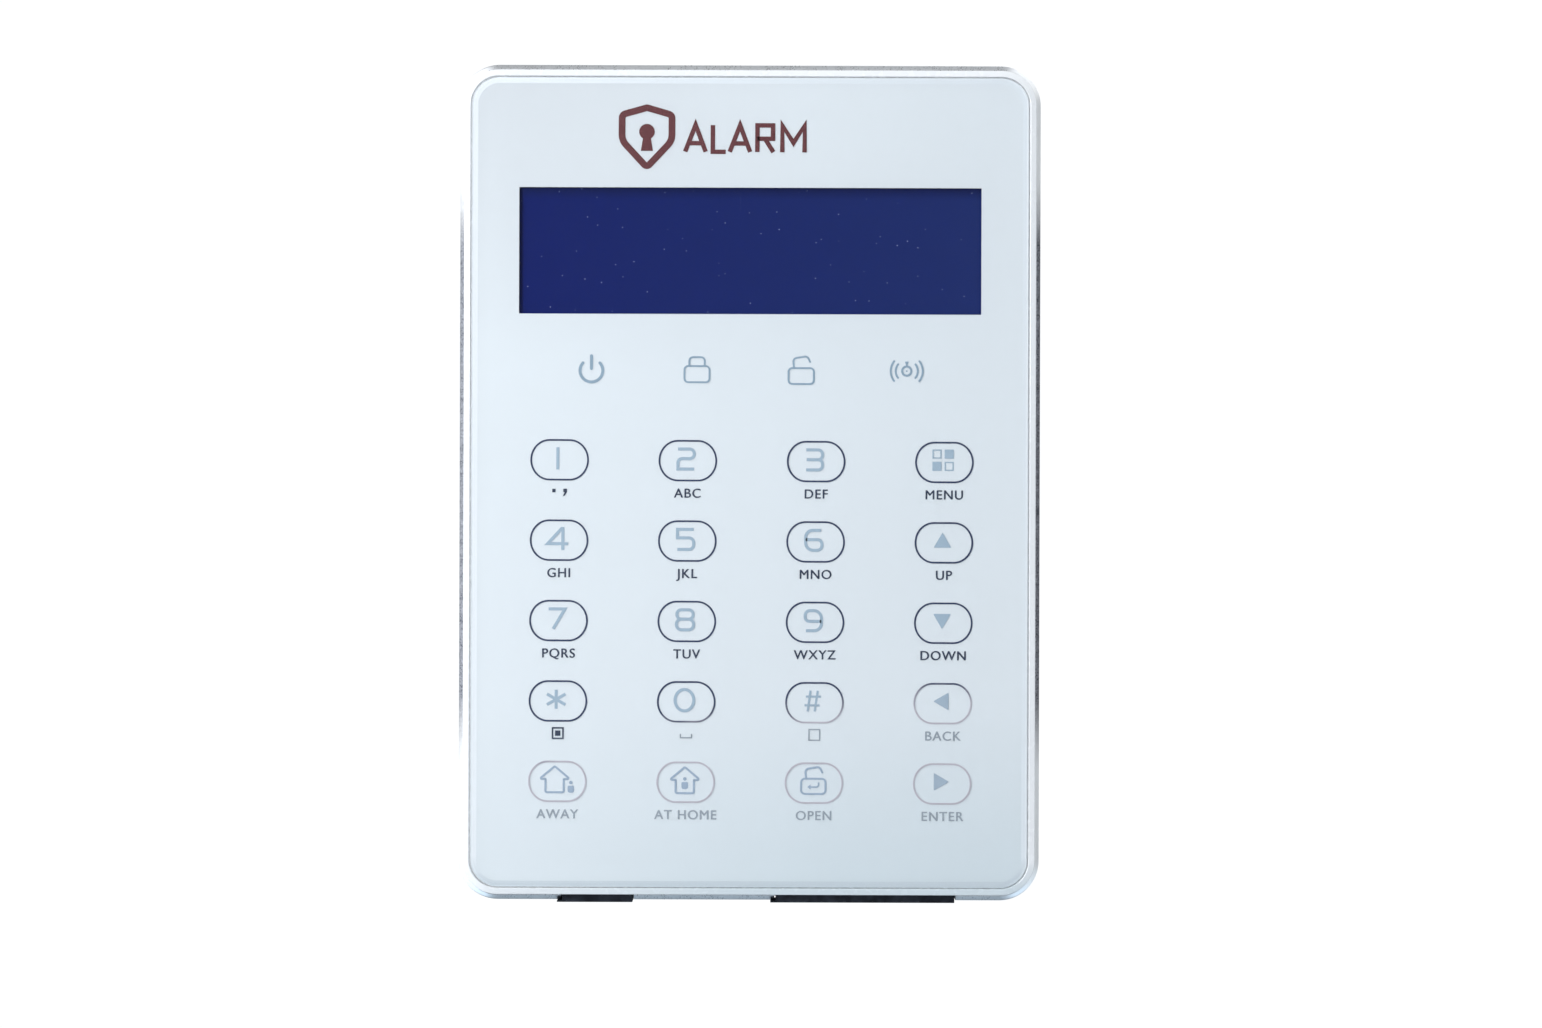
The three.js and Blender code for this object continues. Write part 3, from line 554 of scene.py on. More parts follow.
def tin_plate(surface):
    surface.let(metallic=1.0)
    surface.tint(surface.noise(7 * MM, detail=5), (172, 176, 180), (206, 208, 210))
    rolled = surface.noise(0.5 * MM, detail=4, stretch=(0.05, 1, 1))
    surface.grain(rolled, 0.3, 0.46, 0.2, 0.02 * MM)


def circuit_board(surface):
    """Green mask over copper tracks, with plated holes."""
    surface.let(coat_weight=0.3, coat_roughness=0.15)
    tracks = surface.span(surface.cells(3.4 * MM, feature="DISTANCE_TO_EDGE"), 0.09, 0.07)
    squares = surface.span(surface.cells(2.2 * MM, distance="CHEBYCHEV"), 0.56, 0.58)
    raised = surface.math("MAXIMUM", tracks, squares)
    mask = surface.mix(raised, (19, 74, 42), (38, 112, 62))
    plated = surface.span(surface.cells(2.9 * MM, distance="EUCLIDEAN"), 0.1, 0.08)
    surface.tint(plated, mask, (214, 186, 120))
    surface.set("Metallic", plated)
    surface.roughen(surface.noise(0.5 * MM, detail=2), 0.34, 0.5)
    surface.bump(raised, 0.3, 0.03 * MM)


def polyimide(surface):
    """Amber film with copper conductors running along it."""
    surface.let(coat_weight=0.2, coat_roughness=0.1)
    pitch = 1.0 * MM
    wave = surface.math("SINE", surface.times(surface.axis("X"), 2 * math.pi / pitch))
    conductor = surface.span(wave, -0.1, 0.1)
    creases = surface.noise(4 * MM, detail=4)
    film = surface.mix(creases, (176, 112, 34), (202, 138, 52))
    surface.tint(conductor, film, (150, 84, 40))
    surface.roughen(creases, 0.26, 0.4)
    surface.bump(conductor, 0.25, 0.02 * MM)


def capacitor_sleeve(surface):
    """A blue shrink sleeve, a pale stripe down one side and a bare aluminium top."""
    normal = surface.node("NewGeometry")["Normal"]
    stripe = surface.span(surface.split(normal, "X"), -0.9, -0.92)
    top = surface.span(surface.split(normal, "Y"), -0.9, -0.95)
    wrinkle = surface.noise(1.2 * MM)
    sleeve = surface.mix(wrinkle, (30, 52, 122), (44, 70, 148))
    surface.tint(top, surface.mix(stripe, sleeve, (214, 218, 226)), (190, 192, 196))
    surface.set("Metallic", top)
    surface.grain(wrinkle, 0.25, 0.42, 0.15, 0.04 * MM)


def terminal_green(surface):
    surface.tint(surface.noise(5 * MM, detail=4), (30, 118, 62), (44, 146, 80))
    surface.grain(surface.noise(0.2 * MM), 0.4, 0.58, 0.25, 0.02 * MM)


def zinc_steel(surface):
    surface.let(metallic=1.0)
    base = surface.mix(surface.noise(1.5 * MM, detail=5), (168, 173, 182), (208, 208, 204))
    surface.tint(surface.worn_edges(), base, (232, 232, 230))
    surface.grain(surface.noise(0.12 * MM), 0.22, 0.4, 0.2, 0.01 * MM)


def spring_steel(surface):
    surface.let(metallic=1.0)
    drawn = surface.noise(0.6 * MM, detail=4)
    surface.tint(drawn, (126, 130, 138), (176, 180, 186))
    surface.grain(drawn, 0.2, 0.38, 0.1, 0.01 * MM)


def galvanised_steel(surface):
    """Zinc spangle: flakes of differing brightness with faint borders."""
    surface.let(metallic=1.0)
    shade = surface.node("SeparateColor", {"Color": surface.cells(5 * MM, "Color")})[0]
    stain = surface.span(surface.noise(25 * MM, detail=6), 0.5, 0.8, 0.0, 0.2)
    base = surface.mix(shade, (180, 184, 188), (200, 203, 206))
    base = surface.mix(stain, base, (210, 212, 213))
    surface.tint(surface.worn_edges(), base, (236, 237, 238))
    surface.set("Roughness", surface.span(shade, 0, 1, 0.3, 0.5))
    surface.bump(surface.plus(shade, surface.noise(0.4 * MM)), 0.05, 0.03 * MM)


def led_white(surface):
    surface.let(transmission_weight=0.25, ior=1.5, coat_weight=0.5)
    tint = surface.noise(0.8 * MM)
    surface.tint(tint, (240, 236, 214), (250, 247, 232))
    surface.grain(tint, 0.15, 0.3, 0.05, 0.02 * MM)


def pale_lower_down(surface, strong, pale):
    """An ink colour that has faded below a line rising to the right, as on a worn print."""
    slanted = surface.minus(surface.axis("Z"), surface.times(surface.axis("X"), 0.14))
    ragged = surface.span(surface.noise(6 * MM), 0.3, 0.7, -1.5 * MM, 1.5 * MM)
    faded = surface.span(surface.plus(slanted, ragged), -50.0 * MM, -56.5 * MM)
    return surface.mix(faded, strong, pale)


def ink(name, strong, pale):
    surface = Surface(name)
    coverage = surface.noise(0.25 * MM)
    thin = surface.span(coverage, 0.35, 0.75, 0.0, 0.06)
    surface.tint(thin, pale_lower_down(surface, strong, pale), (212, 218, 223))
    surface.grain(coverage, 0.5, 0.65, 0.05, 0.01 * MM)
    return surface.material


def dark_red_ink():
    surface = Surface("dark_red_ink")
    halftone = surface.noise(0.22 * MM, detail=2)
    surface.tint(surface.span(halftone, 0.42, 0.62), (72, 16, 24), (108, 52, 56))
    surface.grain(halftone, 0.45, 0.6, 0.05, 0.01 * MM)
    return surface.material


FINISHES = (
    clear_glass, white_lacquer, black_foam, gloss_white, satin_white, brushed_aluminium,
    black_rubber, black_plastic, display_glass, milky_acrylic, tin_plate, circuit_board,
    polyimide, capacitor_sleeve, terminal_green, zinc_steel, spring_steel, galvanised_steel,
    led_white,
)


def material_of_slot(finish):
    """A finish function is named after the material slot that it dresses."""
    surface = Surface(finish.__name__)
    finish(surface)
    return surface.material


materials = {finish.__name__: material_of_slot(finish) for finish in FINISHES}
slot_of_node = {row["node"]: row["material_slot"] for row in frame["record"]["subparts"]}
body_of_node = {
    node: body
    for body, nodes in frame["record"]["behaviour"]["bodies"].items()
    for node in nodes
}


def material_of(node):
    return materials[slot_of_node[node]]


def stand_in(name, node, fill, *arguments):
    """A finished object for one CAD node, in its material, with a mesh drawn by `fill`."""
    bm = bmesh.new()
    fill(bm, *arguments)
    return object_of(name, bm, material_of(node))


def settle_for(piece, node):
    """Puts a piece on its CAD node's body and in its place."""
    return settle(piece, body_of_node[node], (node,))


# ---- Casing -----------------------------------------------------------------


def ring_piece(name, node, radius, profile):
    """A closed (inset, y) profile carried round a CAD node's rounded outline."""
    sections = [in_depth(rounded_outline(node, radius, inset), y) for inset, y in profile]
    return stand_in(name, node, loft, sections, True)


def rod_maker(radius, start, end, place):
    return lambda bm: turned(bm, [(radius, start), (radius, end)], place, 32)


def block_maker(low, high):
    return lambda bm: box_of(bm, low, high)


def glass_front():
    """The toughened glass. Two shallow polished steps lead to its rounded edge, and a small
    ground arris runs round the back."""
    low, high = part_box("glass_panel")
    arris = 0.15 * MM
    inner_step = ((3.1, 0.0), (2.7, 0.012), (1.9, 0.07), (1.75, 0.11))
    outer_step = ((1.2, 0.14), (1.0, 0.2))
    steps = [(inset * MM, low.y + drop * MM) for inset, drop in (*inner_step, *outer_step)]
    edge = fillet(0.85 * MM, 0.9 * MM, low.y + 0.24 * MM, 10)
    profile = [*steps, *edge, (0, high.y - arris), (arris, high.y)]
    sections = [in_depth(rounded_outline("glass_panel", GLASS_RADIUS, i), y) for i, y in profile]
    piece = stand_in("glass_front", "glass_panel", loft, sections)
    piece.visible_shadow = False
    even_shading(piece)
    return settle_for(piece, "glass_panel")


def rim_edge(front, rim, radius, overhang):
    """The rim's face leans back and runs into a rounded outer edge, as (inset, y) pairs."""
    lean = math.radians(20)
    slope_end = radius * (1 - math.sin(lean)) - overhang
    centre = front + (rim - slope_end) * math.tan(lean) + radius * math.cos(lean)
    points = []
    for step in range(RIM_EDGE_STEPS + 1):
        angle = lean + step / RIM_EDGE_STEPS * (math.pi / 2 - lean)
        inset = radius * (1 - math.sin(angle)) - overhang
        points.append((inset, centre - radius * math.cos(angle)))
    return points


def frame_moulding():
    """The white rim round the glass, its ledge and the posts that take the screws. In front of
    the band the rim stands out a little over the band's edge."""
    low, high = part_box("front_frame")
    film_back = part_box("print_film")[1].y
    ledge_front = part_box("glass_tape")[1].y
    ledge_back = ledge_front + 2 * MM
    skirt_back = ledge_front + 3 * MM
    band_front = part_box("side_band")[0].y
    skirt, ledge, rim = 1.6 * MM, 7.0 * MM, 1.3 * MM
    lip, overhang = 0.2 * MM, 0.2 * MM
    profile = [
        *rim_edge(low.y, rim - lip, 0.3 * MM, overhang),
        (-overhang, band_front - 0.2 * MM),
        (0, band_front - 0.1 * MM),
        (0, skirt_back),
        (skirt, skirt_back),
        (skirt, ledge_back),
        (ledge, ledge_back),
        (ledge, ledge_front),
        (rim, ledge_front),
        (rim, film_back),
        (rim, low.y + lip),
        (rim - lip * 0.3, low.y + lip * 0.3),
        (rim - lip, low.y),
    ]
    piece = ring_piece("frame_moulding", "front_frame", FRAME_RADIUS, profile)
    lcd_board_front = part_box("lcd_board")[0].y
    posts, bores, sunk = [], [], 0.6 * MM
    for fasteners, outer, inner, end, depth in (
        ("case_screw", 3.4 * MM, 1.5 * MM, high.y, 9 * MM),
        ("lcd_screw", 2.2 * MM, 1.1 * MM, lcd_board_front, 4 * MM),
    ):
        for index in range(1, 5):
            place = centre_of(f"{fasteners}_{index}")
            posts.append(rod_maker(outer, ledge_back - sunk, end, place))
            bores.append(rod_maker(inner, end - depth, end + MM, place))
    carved(piece, posts, bores)
    piece.visible_shadow = False
    even_shading(piece)
    return settle_for(piece, "front_frame")


def side_band():
    """The brushed aluminium band, notched where the two port covers lie."""
    low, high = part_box("side_band")
    bevel = ((1.08, 0.0), (0.95, 0.06), (0.3, 0.85), (0.1, 1.15), (0.0, 1.55))
    back = 0.5 * MM
    profile = [
        *((inset * MM, low.y + drop * MM) for inset, drop in bevel),
        *reversed(fillet(back, -back, high.y, 5)),
        (BAND_WALL, high.y),
        (BAND_WALL, low.y),
    ]
    piece = ring_piece("brushed_band", "side_band", BAND_RADIUS, profile)
    notches, notch_clearance = [], 0.4 * MM
    for cover in ("power_port_cover", "terminal_cover"):
        cover_low, cover_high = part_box(cover)
        notches.append(block_maker(
            (cover_low.x + TAB_LENGTH - COVER_GAP, low.y - MM, low.z - MM),
            (cover_high.x + COVER_GAP, cover_high.y + notch_clearance, low.z + BAND_WALL + MM),
        ))
    carved(piece, cut=notches)
    even_shading(piece)
    return settle_for(piece, "side_band")


def port_cover(node):
    """A rubber lid with a rounded hinge edge, a seating rib, grooves at its front for a finger
    and a thin tab at its left end."""
    low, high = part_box(node)
    thickness = 1.9 * MM
    radius, edge = thickness / 2, 0.35 * MM
    outer, inner = low.z, low.z + thickness
    hinge_y = high.y - radius
    outline = [
        *((low.y + edge + y, outer + edge + z) for y, z in arc(edge, 180, 270, 5)),
        *((hinge_y + y, outer + radius + z) for y, z in arc(radius, -90, 90, 12)),
        *((low.y + edge + y, inner - edge + z) for y, z in arc(edge, 90, 180, 5)),
    ]
    sections = [[Vector((x, y, z)) for y, z in outline] for x in (low.x, high.x)]
    piece = stand_in(f"{node}_lid", node, loft, sections)
    rib_inset = 1.2 * MM
    rib_left = low.x + TAB_LENGTH + rib_inset
    rib_front, rib_back = low.y + 4.0 * MM, hinge_y - 1.4 * MM
    rib = block_maker(
        (rib_left, rib_front, inner - 0.5 * MM),
        (high.x - rib_inset, rib_back, high.z),
    )
    relief = block_maker(
        (rib_left + rib_inset, rib_front + rib_inset, inner),
        (high.x - 2 * rib_inset, rib_back - rib_inset, high.z + MM),
    )
    grooves = []
    groove_margin, groove_width, groove_depth = 2.5 * MM, 0.4 * MM, 0.25 * MM
    first_groove, groove_pitch = 1.6, 1.1
    for line in range(3):
        y = low.y + (first_groove + groove_pitch * line) * MM
        grooves.append(block_maker(
            (low.x + groove_margin, y, outer - MM),
            (high.x - groove_margin, y + groove_width, outer + groove_depth),
        ))
    tab_corner = (low.x + TAB_LENGTH, high.y + MM, high.z + MM)
    above_tab = block_maker((low.x - MM, low.y - MM, outer + TAB_THICKNESS), tab_corner)
    tab_back = hinge_y - 1.2 * MM
    behind_tab = block_maker((low.x - MM, tab_back, outer - MM), tab_corner)
    carved(piece, [rib], [relief, *grooves, above_tab, behind_tab])
    soften(piece, 0.12 * MM)
    return settle_for(piece, node)


# ---- Carried-over shapes, refined -------------------------------------------

EDGE_OF_NODE = {
    "wall_bracket": 0.25,
    "rear_housing": 0.2,
    "glass_tape": 0.1,
    "touch_board": 0.08,
    "key_diffuser": 0.15,
    "board_socket": 0.08,
    "board_header": 0.06,
    "lcd_bezel": 0.12,
    "lcd_glass": 0.1,
    "lcd_backlight": 0.15,
    "lcd_board": 0.08,
    "lcd_ribbon": 0.05,
    "main_board": 0.08,
    "microcontroller": 0.1,
    "terminal_block": 0.15,
    "power_jack": 0.15,
    "tamper_switch": 0.15,
    **{f"status_led_{index}": 0.1 for index in range(1, 5)},
}


def with_flat_faces_merged(bm, node):
    bm.from_mesh(frame["nodes"][node].data)
    bmesh.ops.remove_doubles(bm, verts=bm.verts, dist=WELD)
    bmesh.ops.dissolve_limit(bm, angle_limit=FLAT_ANGLE, verts=bm.verts, edges=bm.edges)


def refined(node, edge):
    """A CAD node's own shape with its edges rounded."""
    piece = stand_in(f"{node}_finished", node, with_flat_faces_merged, node)
    soften(piece, edge)
    return settle_for(piece, node)


# ---- Turned parts -----------------------------------------------------------


def quarter_turn(steps, share):
    """Angles from 0 to a share of a quarter turn."""
    return (step / steps * math.pi / 2 * share for step in range(steps + 1))


def cross_screw(node, head, height, shank, points_back):
    """A pan-head screw with a cross recess and a threaded shank, along Y."""
    low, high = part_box(node)
    place = centre_of(node)
    away = 1 if points_back else -1
    top, tip = (high.y, low.y) if points_back else (low.y, high.y)
    seat = top - away * height
    point, core, neck = shank * 0.55, shank * 0.78, shank * 0.85
    profile = [(0.15 * MM, tip), (point, tip)]
    pitch = 0.55 * MM
    turns = int((abs(seat - tip) - shank) / pitch)
    for turn in range(turns):
        y = tip + away * (shank * 0.8 + turn * pitch)
        profile.append((core, y))
        profile.append((shank, y + away * pitch * 0.5))
    profile += [(neck, seat - away * 0.1 * MM), (neck, seat), (head, seat)]
    for angle in quarter_turn(6, 0.93):
        rise = height * (0.45 + 0.55 * math.sin(angle))
        profile.append((head * math.cos(angle), seat + away * rise))
    piece = stand_in(f"{node}_turned", node, turned, profile, place, 40)
    slot_half, slot_long, recess = head * 0.12, head * 0.5, height * 0.6
    depth = sorted((top - away * recess, top + away * MM))
    bars = [
        block_maker((place.x - a, depth[0], place.y - b), (place.x + a, depth[1], place.y + b))
        for a, b in ((slot_half, slot_long), (slot_long, slot_half))
    ]
    carved(piece, cut=bars)
    return settle_for(piece, node)


def terminal_screw(node):
    """A slotted clamp screw, seen from below."""
    low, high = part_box(node)
    middle = middle_of(node)
    radius, edge = (high.x - low.x) / 2, 0.2 * MM
    slot_half, slot_depth = 0.28 * MM, 0.7 * MM
    profile = [(radius - edge, low.z), (radius, low.z + edge), (radius, high.z)]
    place = (middle.x, middle.y)
    piece = stand_in(f"{node}_turned", node, turned, profile, place, 32, False, True)
    slot = block_maker(
        (low.x - MM, middle.y - slot_half, low.z - MM),
        (high.x + MM, middle.y + slot_half, low.z + slot_depth),
    )
    carved(piece, cut=[slot])
    return settle_for(piece, node)


def turned_piece(node, profile, closed=False, cut=()):
    piece = stand_in(f"{node}_turned", node, turned, profile, centre_of(node), 64, closed)
    if cut:
        carved(piece, cut=cut)
    even_shading(piece)
    return settle_for(piece, node)


def rolled_edge(radius, y, roll, start, steps=6):
    """A quarter round at the rim of a disc, from an angle onwards, as (radius, y) pairs."""
    return arc(roll, start, start + 90, steps, (radius - roll, y))


def grommet():
    """A rubber ring with a rounded lip on each side of the back wall."""
    low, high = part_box("cable_grommet")
    lip = (high.x - low.x) / 2
    bore, neck = lip - 4.6 * MM, lip - 1.8 * MM
    flange, roll = 1.0 * MM, 0.35 * MM
    profile = [
        (bore + roll, low.y),
        *rolled_edge(lip, low.y + roll, roll, -90, 5),
        (lip, low.y + flange),
        (neck, low.y + flange),
        (neck, high.y - flange),
        (lip, high.y - flange),
        *rolled_edge(lip, high.y - roll, roll, 0, 5),
        (bore + roll, high.y),
        (bore, high.y - roll),
        (bore, low.y + roll),
    ]
    return turned_piece("cable_grommet", profile, closed=True)


def capacitor(node):
    """A can with a rolled edge in front and a crimp near its foot."""
    low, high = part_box(node)
    radius, roll = (high.x - low.x) / 2, 0.5 * MM
    crimp, crimp_depth = high.y - 1.4 * MM, 0.35 * MM
    profile = [
        (0.2 * MM, low.y),
        *rolled_edge(radius, low.y + roll, roll, -90),
        (radius, crimp - 0.5 * MM),
    ]
    for step in range(1, 8):
        inward = crimp_depth * math.sin(step / 8 * math.pi)
        profile.append((radius - inward, crimp + (step / 4 - 1) * 0.45 * MM))
    profile += [(radius, crimp + 0.5 * MM), (radius, high.y)]
    return turned_piece(node, profile)


def sounder():
    """The buzzer can, with a rolled edge and a hole for the sound."""
    low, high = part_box("buzzer")
    radius, roll = (high.x - low.x) / 2, 0.5 * MM
    edge = rolled_edge(radius, low.y + roll, roll, -90)
    hole = rod_maker(1.1 * MM, low.y - MM, low.y + 3 * MM, centre_of("buzzer"))
    return turned_piece("buzzer", [(0.3 * MM, low.y), *edge, (radius, high.y)], cut=[hole])


def plunger():
    """A stem towards the switch and a domed head towards the wall."""
    low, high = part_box("tamper_plunger")
    head, stem = (high.x - low.x) / 2, 1.3 * MM
    bevel, dome = 0.2 * MM, 1.4 * MM
    shoulder = low.y + 3.4 * MM
    profile = [(stem - bevel, low.y), (stem, low.y + bevel), (stem, shoulder), (head, shoulder)]
    for angle in quarter_turn(10, 0.9):
        profile.append((head * math.cos(angle), high.y - dome + dome * math.sin(angle)))
    return turned_piece("tamper_plunger", profile)


def spring():
    """A coil of round wire at its free length; on the real switch the plunger presses it shorter."""
    low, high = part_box("tamper_spring")
    place = centre_of("tamper_spring")
    wire, radius = 0.3 * MM, 2.2 * MM
    turns, steps, wire_sides = 4, 28, 12
    start, end = low.y + wire, high.y - wire
    forward = Vector((0, 1, 0))
    sections = []
    for step in range(turns * steps + 1):
        share = step / (turns * steps)
        angle = share * turns * 2 * math.pi
        outward = Vector((math.cos(angle), 0, math.sin(angle)))
        centre = Vector((place.x, start + (end - start) * share, place.y)) + radius * outward
        sections.append([
            centre + wire * (math.cos(around) * outward + math.sin(around) * forward)
            for around in (side / wire_sides * 2 * math.pi for side in range(wire_sides))
        ])
    piece = settle_for(stand_in("tamper_coil", "tamper_spring", loft, sections), "tamper_spring")
    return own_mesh(piece)


# ---- Print behind the glass -------------------------------------------------

FILM_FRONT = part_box("print_film")[0].y
INK_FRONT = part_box("glass_panel")[1].y * 0.35 + FILM_FRONT * 0.65
INK_BACK = FILM_FRONT - 0.01 * MM
INK_STEP = 0.006 * MM
INK_LEVELS = 6
FACE_CAP_HEIGHT = 0.729


def scaled(points, place):
    """Points drawn in millimetres, moved to a place in metres."""
    return [Vector(point) * MM + place for point in points]


class Print:
    """Flat shapes of one ink, gathered in one mesh. Each shape lies a hair apart from the last.
    Shapes are drawn in millimetres about a place."""

    def __init__(self):
        self.bm = bmesh.new()
        self.count = 0

    def front(self):
        self.count += 1
        return INK_FRONT - INK_STEP * (self.count % INK_LEVELS)

    def fill(self, points, place):
        front = self.front()
        outline = scaled(points, place)
        loft(self.bm, [in_depth(outline, front), in_depth(outline, INK_BACK)])

    def stroke(self, points, place, width, closed=False, round_ends=False):
        """A line of even width."""
        points = scaled(points, place)
        half = width * MM / 2
        sides, halves = mitred_sides(points, closed), [half] * len(points)
        if round_ends:
            points, sides, halves = with_round_ends(points, sides, half)
        front = self.front()
        sections = []
        for point, side, reach in zip(points, sides, halves):
            left, right = point + side * reach, point - side * reach
            sections.append([
                Vector((left.x, front, left.y)),
                Vector((right.x, front, right.y)),
                Vector((right.x, INK_BACK, right.y)),
                Vector((left.x, INK_BACK, left.y)),
            ])
        loft(self.bm, sections, closed)

    def text(self, words, place, cap_height):
        """Words set in the plain built-in face, centred on a place. Its lines are thickened by
        printing them twice, a little apart."""
        curve = bpy.data.curves.new("words", "FONT")
        curve.body = words
        curve.size = cap_height / FACE_CAP_HEIGHT
        curve.space_character = 1.12
        curve.align_x = "CENTER"
        curve.resolution_u = 6
        holder = bpy.data.objects.new("words", curve)
        bpy.context.scene.collection.objects.link(holder)
        evaluated = holder.evaluated_get(bpy.context.evaluated_depsgraph_get())
        flat = bpy.data.meshes.new_from_object(evaluated)
        bpy.data.objects.remove(holder)
        apart = 0.05 * MM
        for side in (-1, 1):
            shift = Vector((side * apart, side * apart / 2 - cap_height / 2))
            self.letters(flat, place + shift)

    def letters(self, flat, corner):
        """Gives flat letters a thickness and puts their corner at a place."""
        front = self.front()
        letters = bmesh.new()
        letters.from_mesh(flat)
        for vertex in letters.verts:
            x, up, _ = vertex.co
            vertex.co = (corner.x + x, front, corner.y + up)
        made = bmesh.ops.extrude_face_region(letters, geom=letters.faces[:])
        for item in made["geom"]:
            if isinstance(item, bmesh.types.BMVert):
                item.co.y = INK_BACK
        solid = bpy.data.meshes.new("letters")
        letters.to_mesh(solid)
        letters.free()
        self.bm.from_mesh(solid)

    def settle(self, name, material):
        """The print sits a hair askew in its frame."""
        turn = Matrix.Rotation(PRINT_TURN, 3, "Y")
        bmesh.ops.rotate(self.bm, verts=self.bm.verts, cent=(0, 0, 0), matrix=turn)
        return settle(object_of(name, self.bm, material), "panel")


def mitred_sides(points, closed):
    """A sideways vector at each point, longer at corners so that the line keeps its width."""
    sides = []
    last = len(points) - 1
    for index, point in enumerate(points):
        directions = []
        if closed or index > 0:
            directions.append((point - points[index - 1]).normalized())
        if closed or index < last:
            directions.append((points[(index + 1) % len(points)] - point).normalized())
        along = sum(directions, Vector((0, 0))).normalized()
        side = Vector((-along.y, along.x))
        reach = side.dot(Vector((-directions[0].y, directions[0].x)))
        sides.append(side / max(reach, 0.35))
    return sides


def with_round_ends(points, sides, half):
    """Adds half-round caps to a line's points, side vectors and half widths."""
    caps, steps = [], 6
    for step in range(1, steps + 1):
        angle = step / (steps + 0.5) * math.pi / 2
        caps.append((half * math.sin(angle), half * math.cos(angle)))
    start_way = (points[0] - points[1]).normalized()
    end_way = (points[-1] - points[-2]).normalized()
    starts = [(points[0] + start_way * reach, sides[0], width) for reach, width in reversed(caps)]
    ends = [(points[-1] + end_way * reach, sides[-1], width) for reach, width in caps]
    body = [(point, side, half) for point, side in zip(points, sides)]
    return zip(*(starts + body + ends))


def key_place(column, row):
    """The centre of a key. Columns run from the left and rows from the top."""
    x = PRINT_SHIFT + (column - (KEY_COLUMNS - 1) / 2) * KEY_PITCH_X
    return Vector((x, KEY_TOP_ROW - row * KEY_PITCH_Z))


def key_outline():
    """Flat above and below, with elliptical ends."""
    points = []
    for side, start in ((1, -90), (-1, 90)):
        for x, z in arc(1, start, start + 180, 28):
            points.append((side * KEY_HALF_FLAT + x * KEY_END, z * KEY_HALF_HEIGHT))
    return points


def digit_lines(digit):
    """A digit's lines in millimetres, each as (points, corner radii, closed)."""
    w, h = DIGIT_HALF_WIDTH, DIGIT_HALF_HEIGHT
    two = [(-w, h), (w, h), (w, 0.1), (-w, 0.1), (-w, -h), (w, -h)]
    two_radii = [0, 1.05, 1.05, 0.95, 0, 0]
    five = [(w, h), (-w, h), (-w, 0.35), (w, 0.35), (w, -h), (-w, -h)]
    five_radii = [0, 0, 0, 1.05, 1.05, 0]
    six = [(w - 0.2, h), (-w, h), (-w, -h), (w, -h), (w, 0.15), (-w, 0.15)]
    six_radii = [0, 1.6, 1.7, 1.1, 1.0, 0]
    lines = {
        "1": [([(0, h + 0.2), (0, -h - 0.3)], 0, False)],
        "2": [(two, two_radii, False)],
        "3": [
            ([(-w, h), (w, h), (w, 0.05), (0.1 - w, 0.05)], [0, 1.0, 1.0, 0], False),
            ([(0.1 - w, 0.05), (w, 0.05), (w, -h), (-w, -h)], [0, 1.0, 1.0, 0], False),
        ],
        "4": [
            ([(2.45, -1.15), (-2.15, -1.15), (0.95, h), (1.25, h)], 0, False),
            ([(1.25, h + DIGIT_LINE / 2), (1.25, -2.55)], 0, False),
        ],
        "5": [(five, five_radii, False)],
        "6": [(six, six_radii, False)],
        "7": [([(-w, h), (w, h), (-0.8, -h)], 0, False)],
        "8": [
            ([(w, h), (-w, h), (-w, 0.15), (w, 0.15)], 1.0, True),
            ([(w + 0.1, 0.15), (-w - 0.1, 0.15), (-w - 0.1, -h), (w + 0.1, -h)], 1.15, True),
        ],
        "9": [([(-x, -z) for x, z in six], six_radii, False)],
    }
    return lines[digit]


def draw_digit(layer, digit, place):
    for points, radii, closed in digit_lines(digit):
        layer.stroke(rounded_path(points, radii, closed), place, DIGIT_LINE, closed)


def draw_zero(layer, place):
    loop = [(2.1 * x, 2.4 * z) for x, z in arc(1, 0, 352, 44)]
    layer.stroke(loop, place, DIGIT_LINE, closed=True)


def draw_star(layer, place):
    for angle in (90, 30, -30):
        half = 2.15 if angle == 90 else 2.4
        reach = Vector((math.cos(math.radians(angle)), math.sin(math.radians(angle)))) * half
        layer.stroke([-reach, reach], place, STAR_LINE)


def draw_hash(layer, place):
    for start, end in (
        ((-0.52, 2.35), (-1.13, -2.35)),
        ((1.13, 2.35), (0.44, -2.35)),
        ((-1.55, 1.0), (1.85, 1.0)),
        ((-1.85, -0.96), (1.55, -0.96)),
    ):
        layer.stroke([start, end], place, HASH_LINE)


def draw_panes(layer, place):
    """Four small squares, two of them filled."""
    half, offset, line = 1.03, 1.375, 0.3
    for side, rise, filled in ((-1, 1, False), (1, 1, True), (-1, -1, True), (1, -1, False)):
        inset = 0 if filled else line / 2
        reach = half - inset
        square = [
            (side * offset + x * reach, rise * offset + z * reach)
            for x, z in ((-1, -1), (1, -1), (1, 1), (-1, 1))
        ]
        if filled:
            layer.fill(square, place)
        else:
            layer.stroke(square, place, line, closed=True)


def draw_arrow(layer, place, quarter_turns):
    """A filled triangle that points up, turned by quarters."""
    turn = Matrix.Rotation(quarter_turns * math.pi / 2, 2)
    corners = [turn @ Vector(point) for point in ((-2.0, -1.6), (2.0, -1.6), (0, 1.85))]
    layer.fill(rounded_path(corners, 0.12, closed=True), place)


def draw_house(layer, place):
    points = [
        (0, 3.1), (-3.45, 0.22), (-2.05, 0.22), (-2.05, -2.75),
        (2.05, -2.75), (2.05, 0.22), (3.45, 0.22),
    ]
    path = rounded_path(points, [0.3, 0.22, 0.1, 0.35, 0.35, 0.1, 0.22], closed=True)
    layer.stroke(path, place, HOUSE_LINE, closed=True)


